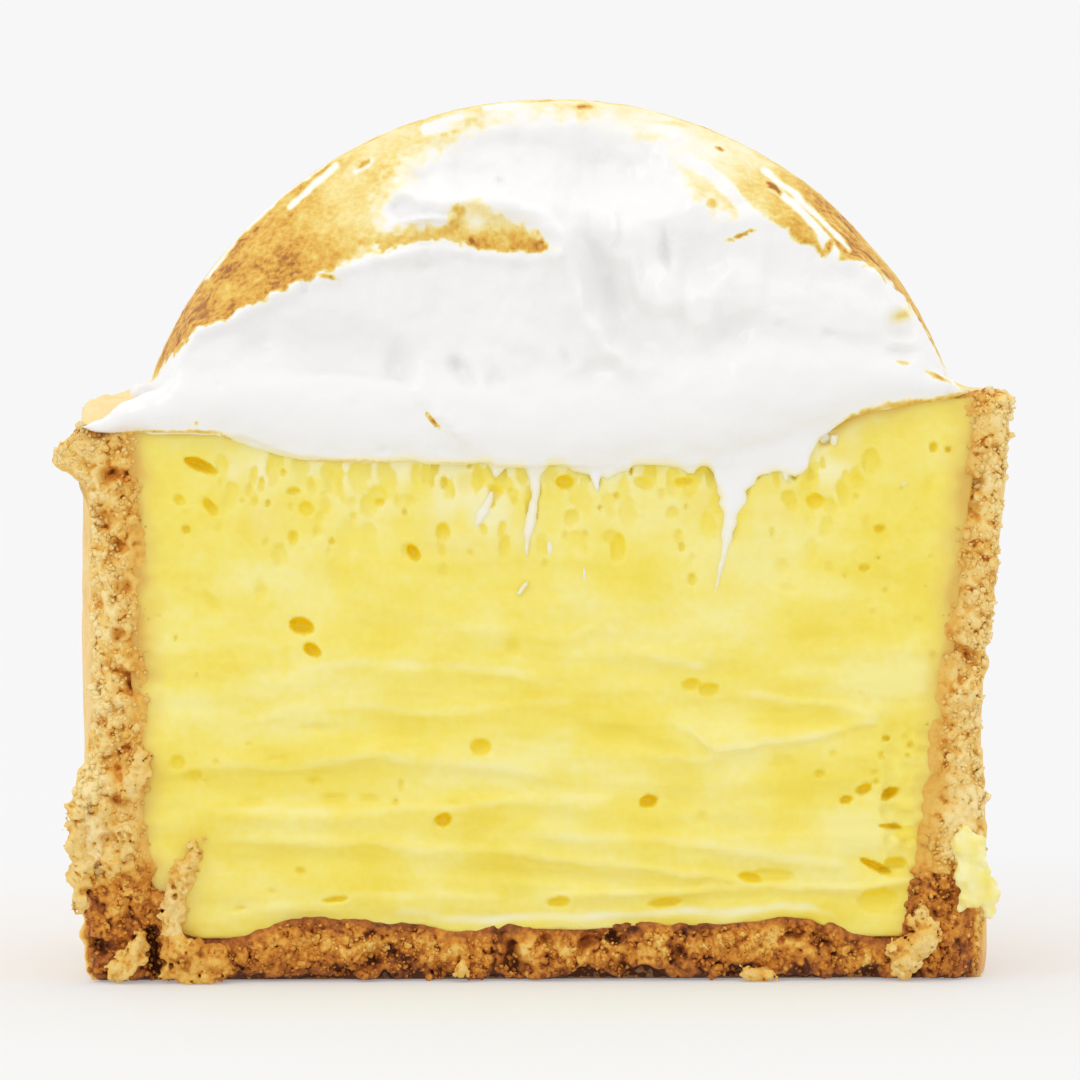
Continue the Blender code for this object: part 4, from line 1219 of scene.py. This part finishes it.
SWELLS = [
    (10.3, 58.0, 1.9, 1.9, 20, 1.3, 6), (10.6, 56.0, 1.2, 1.6, 0, 0.6, 4),
    (13.6, 56.6, 1.4, 2.1, 12, 1.3, 6), (16.6, 58.2, 2.4, 2.3, 20, 1.0, 6),
    (23.6, 56.6, 5.6, 2.2, -6, 0.9, 6), (-9.3, 49.6, 1.0, 2.6, 35, 0.9, 5),
    (-6.6, 46.9, 1.6, 0.9, -35, 0.6, 5), (6.2, 63.6, 0.35, 1.6, -6, 0.7, 5),
    (8.1, 59.0, 0.4, 2.0, 12, 0.6, 5), (-9.0, 64.3, 2.6, 0.35, 2, 0.8, 6),
    (-24.5, 57.0, 5.5, 0.8, 22, 0.4, 4), (-10.0, 61.2, 3.0, 0.7, 4, 0.5, 5),
    (-16.0, 49.4, 0.5, 0.6, 0, 0.4, 6), (-22.0, 52.6, 2.0, 0.7, 0, 0.4, 4),
    (0.0, 53.6, 3.5, 1.0, -30, 0.4, 3),
]
# The foot of the dome, spread against the rim all round the back: radius, height, half thickness.
FOOT_RING = (34.9, 49.6, 0.9)
# The fold along the filling's top edge: x, middle height, half height, how far its middle is ahead
# of the cut, half depth.
FOLD = [
    (-38.5, 46.8, 0.12, -1.2, 0.6), (-37.0, 47.05, 0.5, -0.9, 1.0),
    (-34.6, 47.75, 1.25, -0.4, 1.5), (-32.5, 48.2, 1.7, -0.1, 1.7), (-29, 48.8, 2.1, 0.3, 1.6),
    (-24, 48.9, 2.5, 0.3, 1.6), (-18, 48.1, 3.1, 0.2, 1.5), (-10, 47.7, 2.8, 0.2, 1.5),
    (0, 47.2, 2.9, 0.3, 1.5), (9, 47.7, 3.0, 0.4, 1.6), (14, 48.4, 3.7, 0.5, 1.7),
    (19, 49.8, 3.7, 0.5, 1.7), (24, 50.5, 3.0, 0.4, 1.7), (29, 50.8, 1.9, 0.1, 1.8),
    (33, 50.4, 0.9, -0.5, 1.7), (36.4, 49.9, 0.3, -1.4, 0.9),
]
# The lower edge of the thin meringue on the curd, scalloped where it pulled away.
FILM_EDGE = [
    (-38.5, 46.9), (-37, 46.5), (-34, 46.4), (-30, 46.4), (-27, 46.3), (-26.4, 45.9), (-24, 45.0),
    (-21.4, 44.3), (-18.4, 43.8), (-13, 43.9), (-10.6, 44.1), (-9.6, 43.8), (-6.5, 43.7),
    (-4.3, 44.0), (-3.4, 43.4), (-1.3, 43.5), (-0.9, 42.9), (0.1, 42.8), (0.76, 43.8), (2.1, 43.7),
    (2.9, 43.0), (4.2, 42.75), (4.94, 40.9), (5.25, 42.6), (5.8, 42.3), (6.5, 42.8), (7.6, 43.1),
    (7.9, 43.7), (10.7, 43.7), (11.8, 43.4), (12.4, 42.9), (13.1, 42.85), (13.4, 43.5),
    (13.9, 43.7), (14.5, 43.3), (14.8, 42.4), (15.0, 41.5), (17.9, 41.8), (18.6, 42.75),
    (19.8, 43.1), (21.7, 42.6), (22.6, 43.1), (22.9, 44.3), (23.6, 45.9), (25.9, 47.6),
    (27.8, 48.2), (31.6, 48.7), (35.4, 49.4), (36.5, 49.8),
]
# Drips on the curd: (x, height, half width) down each.
DRIPS = [
    [(17.4, 43.6, 3.0), (16.7, 42.75, 2.0), (16.36, 41.5, 1.42), (16.07, 38.95, 0.68),
     (15.7, 36.7, 0.45), (15.27, 34.8, 0.27), (14.93, 33.2, 0.15), (14.5, 31.7, 0.03)],
    [(-0.3, 43.6, 1.0), (-0.34, 42.8, 0.6), (-0.33, 41.0, 0.34), (-0.66, 39.1, 0.46),
     (-0.94, 37.8, 0.44), (-1.0, 36.9, 0.24), (-1.12, 35.3, 0.03)],
    [(-3.5, 43.8, 0.9), (-3.6, 42.9, 0.35), (-3.7, 42.3, 0.05)],
    [(-4.0, 41.4, 0.2), (-4.3, 40.5, 0.42), (-4.8, 39.6, 0.66), (-5.1, 38.8, 0.36),
     (-5.3, 38.2, 0.05)],
    [(3.7, 36.1, 0.15), (3.75, 35.4, 0.32), (3.8, 34.4, 0.34), (3.9, 33.6, 0.2)],
    [(0.85, 37.6, 0.15), (0.95, 36.5, 0.36), (1.0, 35.4, 0.15)],
    [(31.3, 42.6, 0.05), (30.8, 42.0, 0.22), (30.5, 41.6, 0.05)],
    [(6.0, 32.4, 0.1), (6.6, 31.6, 0.22), (7.3, 31.0, 0.08)],
    [(3.4, 33.6, 0.22), (3.0, 33.35, 0.2)],
    [(-0.9, 33.9, 0.15), (-1.6, 32.9, 0.3), (-1.9, 32.5, 0.1)],
    [(-2.5, 38.3, 0.16), (-2.6, 37.9, 0.14)],
    [(20.9, 43.2, 0.3), (20.8, 42.4, 0.25), (21.2, 42.0, 0.15)],
    [(24.9, 46.2, 0.35), (24.8, 45.2, 0.3)],
]


def from_line(points, x, z):
    """The distance in mm from each place to a line through these (x, height) points."""
    nearest = np.full(np.broadcast(x, z).shape, 1e3)
    for (x0, z0), (x1, z1) in zip(points, points[1:]):
        length = (x1 - x0) ** 2 + (z1 - z0) ** 2
        share = np.clip(((x - x0) * (x1 - x0) + (z - z0) * (z1 - z0)) / length, 0, 1)
        away = np.hypot(x - x0 - share * (x1 - x0), z - z0 - share * (z1 - z0))
        nearest = np.minimum(nearest, away)
    return nearest


def torn_edges(x, z):
    """Each place's angle and distance from the dome's middle, in the cut's plane."""
    dx, dz = x - DOME_MIDDLE[0], z - DOME_MIDDLE[2]
    return np.degrees(np.arctan2(dz, dx)), np.hypot(dx, dz)


def toasting(x, y, z):
    """How brown the torch left each place, from 0 to about 1, less in one painted highlight high
    on the dome's right.
    """
    turn, far = torn_edges(x, z)
    ragged = 0.30 * rough(x, y, z, 0.9, 41) + 0.18 * rough(x, y, z, 0.4, 42)
    soft = 0.25 + 1.5 * bump(turn - 90, 26) + 2.4 * bump(turn - 116, 8) + 0.9 * bump(turn - 64, 6)
    shown = rise(far + ragged * (1 + soft), line(TOASTED_EDGE, turn), soft)
    patch = rise(far + ragged - line(TORN_EDGE, turn), 0.15, 0.25)
    under = line(PATCH_UPPER, turn) - far + 1.6 * ragged
    patch *= np.clip(under / 0.6, 0, 1) * (turn > 88.5) * (turn < 122)
    paling = np.clip(0.95 - 0.16 * (far - line(TORN_EDGE, turn)), 0.35, 1)
    patch *= paling + 0.25 * rough(x, y, z, 1.6, 48)
    bubble = bump(oval(x, z, -5.2, 63.9, 0.9, 1.0, 0)[0], 0.8)
    patch *= 1 - 0.75 * bubble - 0.25 * rise(turn, 108, 4)
    behind = rise(y - CUT, 6.5, 3)
    shown = np.maximum(shown, behind)
    amount = line(TORCHED, np.where(z < DOME_MIDDLE[2], 10, turn)) * (1 - behind) + 0.55 * behind
    amount = amount + 0.18 * rough(x, y, z, 6.0, 43) + 0.14 * rough(x, y, z, 1.8, 44)
    # A painted highlight: an oval high on the dome is left nearly white, as if it caught a glint.
    painted_glint = 0.75 * bump(oval(x, z, 12.0, 71.0, 5.5, 1.6, -32)[0], 0.9) * (1 - behind)
    amount = amount * (1 - painted_glint)
    arc_run = np.radians(turn) * DOME_RADIUS
    streak = rough(arc_run / 9.0, y / 1.15, far / 6.0, 1.0, 45)
    streak = np.clip((streak - 0.40) * 4.5, 0, 1) * rise(far, 34.2, 1.2)
    streak *= np.clip((turn - 40) / 12, 0.15, 1) * np.clip((125 - turn) / 8, 0.25, 1)
    for half, points in WHITE_TEARS:
        away = from_line(points, x, z) - half + 0.16 * rough(x, y, z, 1.0, 49)
        streak = np.maximum(streak, np.clip(1 - away / 0.22, 0, 1) * fall(y, -1.5, 2.5))
    hot = np.clip((rough(arc_run / 5.0, y / 0.9, far / 3.0, 1.0, 46) - 0.45) * 3, 0, 1)
    amount = amount * (1 - 0.95 * streak) + 0.35 * hot * rise(far, 33, 3)
    low = rise(z - 50.0, 1.5 * rough(x, y, z, 4.0, 47), 2.0)
    toast = np.maximum(shown * amount * low, patch * 0.85)
    for x0, z0, wide, high, tilt, dark in BROWN_SPOTS:
        away = oval(x, z, x0, z0, wide, high, tilt)[0] + 0.5 * rough(x, y, z, 0.5, 50)
        toast = np.maximum(toast, dark * np.clip(1.6 - away, 0, 1) * (y < -1))
    stray_gold = 0.42 * bump(oval(x, z, 30.6, 56.2, 1.0, 0.55, 20)[0], 1.0)
    toast = np.maximum(toast, stray_gold * (y < -5))
    return np.clip(toast, 0, 1.2)


def lumps(x, z, size, seed=0):
    """Rounded crumbs packed side by side: 1 on the crown of each, 0 in the cracks."""
    across, up = np.broadcast_arrays(x / size + 3.7 * seed, z / size)
    column, row = np.floor(across).astype(int), np.floor(up).astype(int)
    nearest = np.full(across.shape, 9.0)
    for i in (-1, 0, 1):
        for j in (-1, 0, 1):
            key = SHUFFLED[(SHUFFLED[(column + i) & 255] + row + j) & 255]
            middle_x = column + i + 0.5 + 0.42 * SLOPES[key, 0]
            middle_z = row + j + 0.5 + 0.42 * SLOPES[key, 1]
            reach = 0.75 + 0.5 * (key / 255)
            away = ((across - middle_x) ** 2 + (up - middle_z) ** 2) / reach
            nearest = np.minimum(nearest, away)
    return np.sqrt(np.clip(1 - 1.25 * nearest, 0, 1))


def torn_face(x, z):
    """The y of the meringue's torn face."""
    turn, far = torn_edges(x, z)
    edge = line(TORN_EDGE, turn)
    over = np.clip(far - edge, 0, None) / np.maximum(DOME_RADIUS - edge, 2)
    y = CUT + 7.0 * np.minimum(over, 1.5) ** 1.5
    y = y - 0.45 * bump(far - edge + 0.35, 0.55) * (turn > 88)
    bent_x = x + 0.35 * rough(x, 0, z, 2.2, 58)
    bent_z = z + 0.35 * rough(x, 6, z, 2.2, 59)
    for side, forms in ((1, HOLLOWS), (-1, SWELLS)):
        for x0, z0, wide, high, tilt, deep, crisp in forms:
            away = oval(bent_x, bent_z, x0, z0, wide, high, tilt)[0]
            y = y + side * deep / (1 + np.exp(np.clip((away - 0.95) * crisp, -30, 30)))
    crest = from_line(RIDGE, bent_x, bent_z)
    fading = np.clip(np.hypot(x - RIDGE[0][0], z - RIDGE[0][1]) / 5.0, 0.1, 1)
    y = y - fading * (1.7 * bump(crest, 1.15) + 0.6 * bump(crest, 2.8))
    middle = line([(row[0], row[1]) for row in FOLD], x)
    y = y - 1.3 * bump(z - middle, 4.5) * fall(np.abs(x), 36.5, 6)
    pulled = 0.30 * rough(x, 0, z * 0.6, 4.5, 52) + 0.20 * rough(x, 0, z, 1.9, 53)
    combed = 0.12 * rough(x, 0, z * 0.3, 1.0, 60) * rise(z, 55, 4)
    pulled += 0.08 * rough(x, 0, z, 0.8, 54) + combed
    scum = bump(from_line([(-8.4, 47.6), (-7.2, 46.6), (-5.2, 45.2)], x, z), 0.7)
    return y + pulled - 0.45 * scum * lumps(x, z, 0.45, 62)


def drips(x, z):
    """How far inside the outline of the thin meringue on the curd each place is, in mm."""
    xs, heights = zip(*FILM_EDGE)
    edge = np.interp(x, xs, heights) + 0.06 * rough(x, 0, 0, 0.5, 56)
    inside = np.minimum(z - edge, np.minimum(x + 38.4, 36.2 - x))
    for drip in DRIPS:
        along = [(z0, x0) for x0, z0, _ in drip][::-1]
        half = [(z0, h0) for _, z0, h0 in drip][::-1]
        middle = np.interp(z, *zip(*along))
        wide = np.interp(z, *zip(*half)) * (1 + 0.35 * rough(x * 0.5, 0, z, 0.8, 66))
        ends = np.minimum(z - drip[-1][1], drip[0][1] - z) * 0.6
        inside = np.maximum(inside, np.minimum(wide - np.abs(x - middle), ends))
    return inside


def torched_meringue():
    white = Finish("torched_meringue", Roughness=0.32, Specular_IOR_Level=0.5,
                   Subsurface_Weight=0.06, Subsurface_Radius=(1.0, 0.95, 0.9),
                   Subsurface_Scale=0.001)
    toast = white.attribute("toast")
    grain = white.noise(0.5, 4.0)
    cloud = white.noise(3.5, 3.0)
    speck = white.noise(0.9, 4.0, distortion=0.6)
    tone = toast + (grain - 0.5) * toast * 1.1 + (cloud - 0.5) * toast * 0.4
    colour = white.ramp(tone, [
        (0.0, rgb(246, 245, 243)), (0.06, rgb(249, 246, 235)), (0.2, rgb(250, 240, 196)),
        (0.4, rgb(244, 221, 136)), (0.6, rgb(236, 196, 88)), (0.8, rgb(222, 162, 54)),
        (1.0, rgb(170, 104, 30)),
    ])
    brown = white.between(speck, 0.62, 0.78) * white.between(toast, 0.35, 0.7)
    colour = white.blend(brown * 0.4, colour, rgb(186, 116, 34))
    thin = white.attribute("thin")
    colour = white.blend(thin * 0.7, colour, rgb(249, 238, 168))
    shine = white.between(toast, 0.1, 0.6) * 0.34 + 0.28
    height = white.noise(1.6, 3.0) * 0.4 + grain * white.between(toast, 0.15, 0.6) * 0.9
    return white.show(Base_Color=colour, Roughness=shine, Normal=white.bumps(height, 0.18))


def meringue():
    """The dome with its torn face, the fold over the curd's edge, the film and the drips."""
    xs, ys, zs, *box = grid((-40.0, 39.4), (CUT - 4.0, 37.2), (31.2, 75.8), DOME_CELL)
    X, Y, Z = (v.astype(np.float32) for v in box)
    x, z = np.meshgrid(xs, zs, indexing="ij")
    dome = np.sqrt((X - DOME_MIDDLE[0]) ** 2 + Y**2 + (Z - DOME_MIDDLE[2]) ** 2) - DOME_RADIUS
    foot = filling_top(X - lean(SHELL_HEIGHT), Y).astype(np.float32) + 0.15
    dome = np.maximum(dome, foot - Z)
    dome = np.maximum(dome, torn_face(x, z).astype(np.float32)[:, None, :] - Y)
    ring = np.hypot(X - lean(SHELL_HEIGHT), Y) - FOOT_RING[0] - 0.25 * rough(X, Y, 0, 3.0, 68)
    bead = np.hypot(ring, Z - FOOT_RING[1]) - FOOT_RING[2]
    bead = np.maximum(bead, CUT + 4.0 - Y)
    dome = melted(dome, bead, 0.8).astype(np.float32)
    lip = np.interp(xs, *zip(*FILM_EDGE))[:, None, None].astype(np.float32)
    dome = np.maximum(dome, np.where(Y < CUT + 0.6, lip - Z, -9).astype(np.float32))
    row = [line([(f[0], f[column]) for f in FOLD], xs)[:, None, None] for column in (1, 2, 3, 4)]
    middle, high, ahead, deep = (r.astype(np.float32) for r in row)
    droop = 0.2 * rough(xs, 0, 0, 3.5, 57)[:, None, None]
    fold = np.hypot((Z - middle - droop) / high, (Y - CUT + ahead) / deep) - 1
    fold = fold * np.minimum(high, deep)
    fold = np.maximum(fold, np.maximum(X - FOLD[-1][0], FOLD[0][0] - X))
    fold = np.maximum(fold, np.where(Y > CUT - 0.1, foot + 0.05 - Z, -9).astype(np.float32))
    uneven = 0.16 * rough(x, 0, z, 2.6, 64) + 0.05 * rough(x, 0, z, 0.9, 65)
    fold += uneven.astype(np.float32)[:, None, :]
    field = melted(fold, dome, 1.0)
    inside = drips(x, z)
    film_front = CUT - 0.34 * (1 - np.exp(-np.clip(inside, 0, 9) / 0.7))
    film = np.maximum(film_front[:, None, :] - Y, -inside[:, None, :])
    film = np.maximum(film, np.maximum(Y - (CUT + 0.5), Z - middle))
    field = melted(film, field, 0.4)
    places, faces = skin(field.astype(np.float32), xs, ys, zs)
    _, py, pz = places.T
    behind = (py > CUT + 9) | (pz < foot.min() + 0.4) & (py > CUT + 2)
    places, faces = thinned(places, faces, 0.45, behind)
    px, py, pz = places.T
    toast = toasting(px, py, pz)
    away = places - np.array(DOME_MIDDLE)
    far = np.linalg.norm(away, axis=1)
    on_skin = np.clip((far - DOME_RADIUS + 1.5) / 1.0, 0, 1)
    arc_run = np.radians(torn_edges(px, pz)[0]) * DOME_RADIUS
    strokes = 0.10 * rough(arc_run / 8, py / 1.6, 0, 1.0, 61) + 0.12 * rough(px, py, pz, 8.0, 62)
    crisp = 0.10 * rough(px, py, pz, 0.8, 63) * np.clip(toast, 0, 1)
    places = places + away / far[:, None] * ((strokes * on_skin + crisp) * (pz > 51))[:, None]
    thin = np.clip(1 - drips(px, pz) / 0.7, 0, 1) * (py < CUT + 0.6) * (pz < 46)
    piece("meringue_dome", places, faces, torched_meringue(), "meringue", "meringue",
          {"toast": toast, "thin": thin * (toast < 0.3)})


meringue()
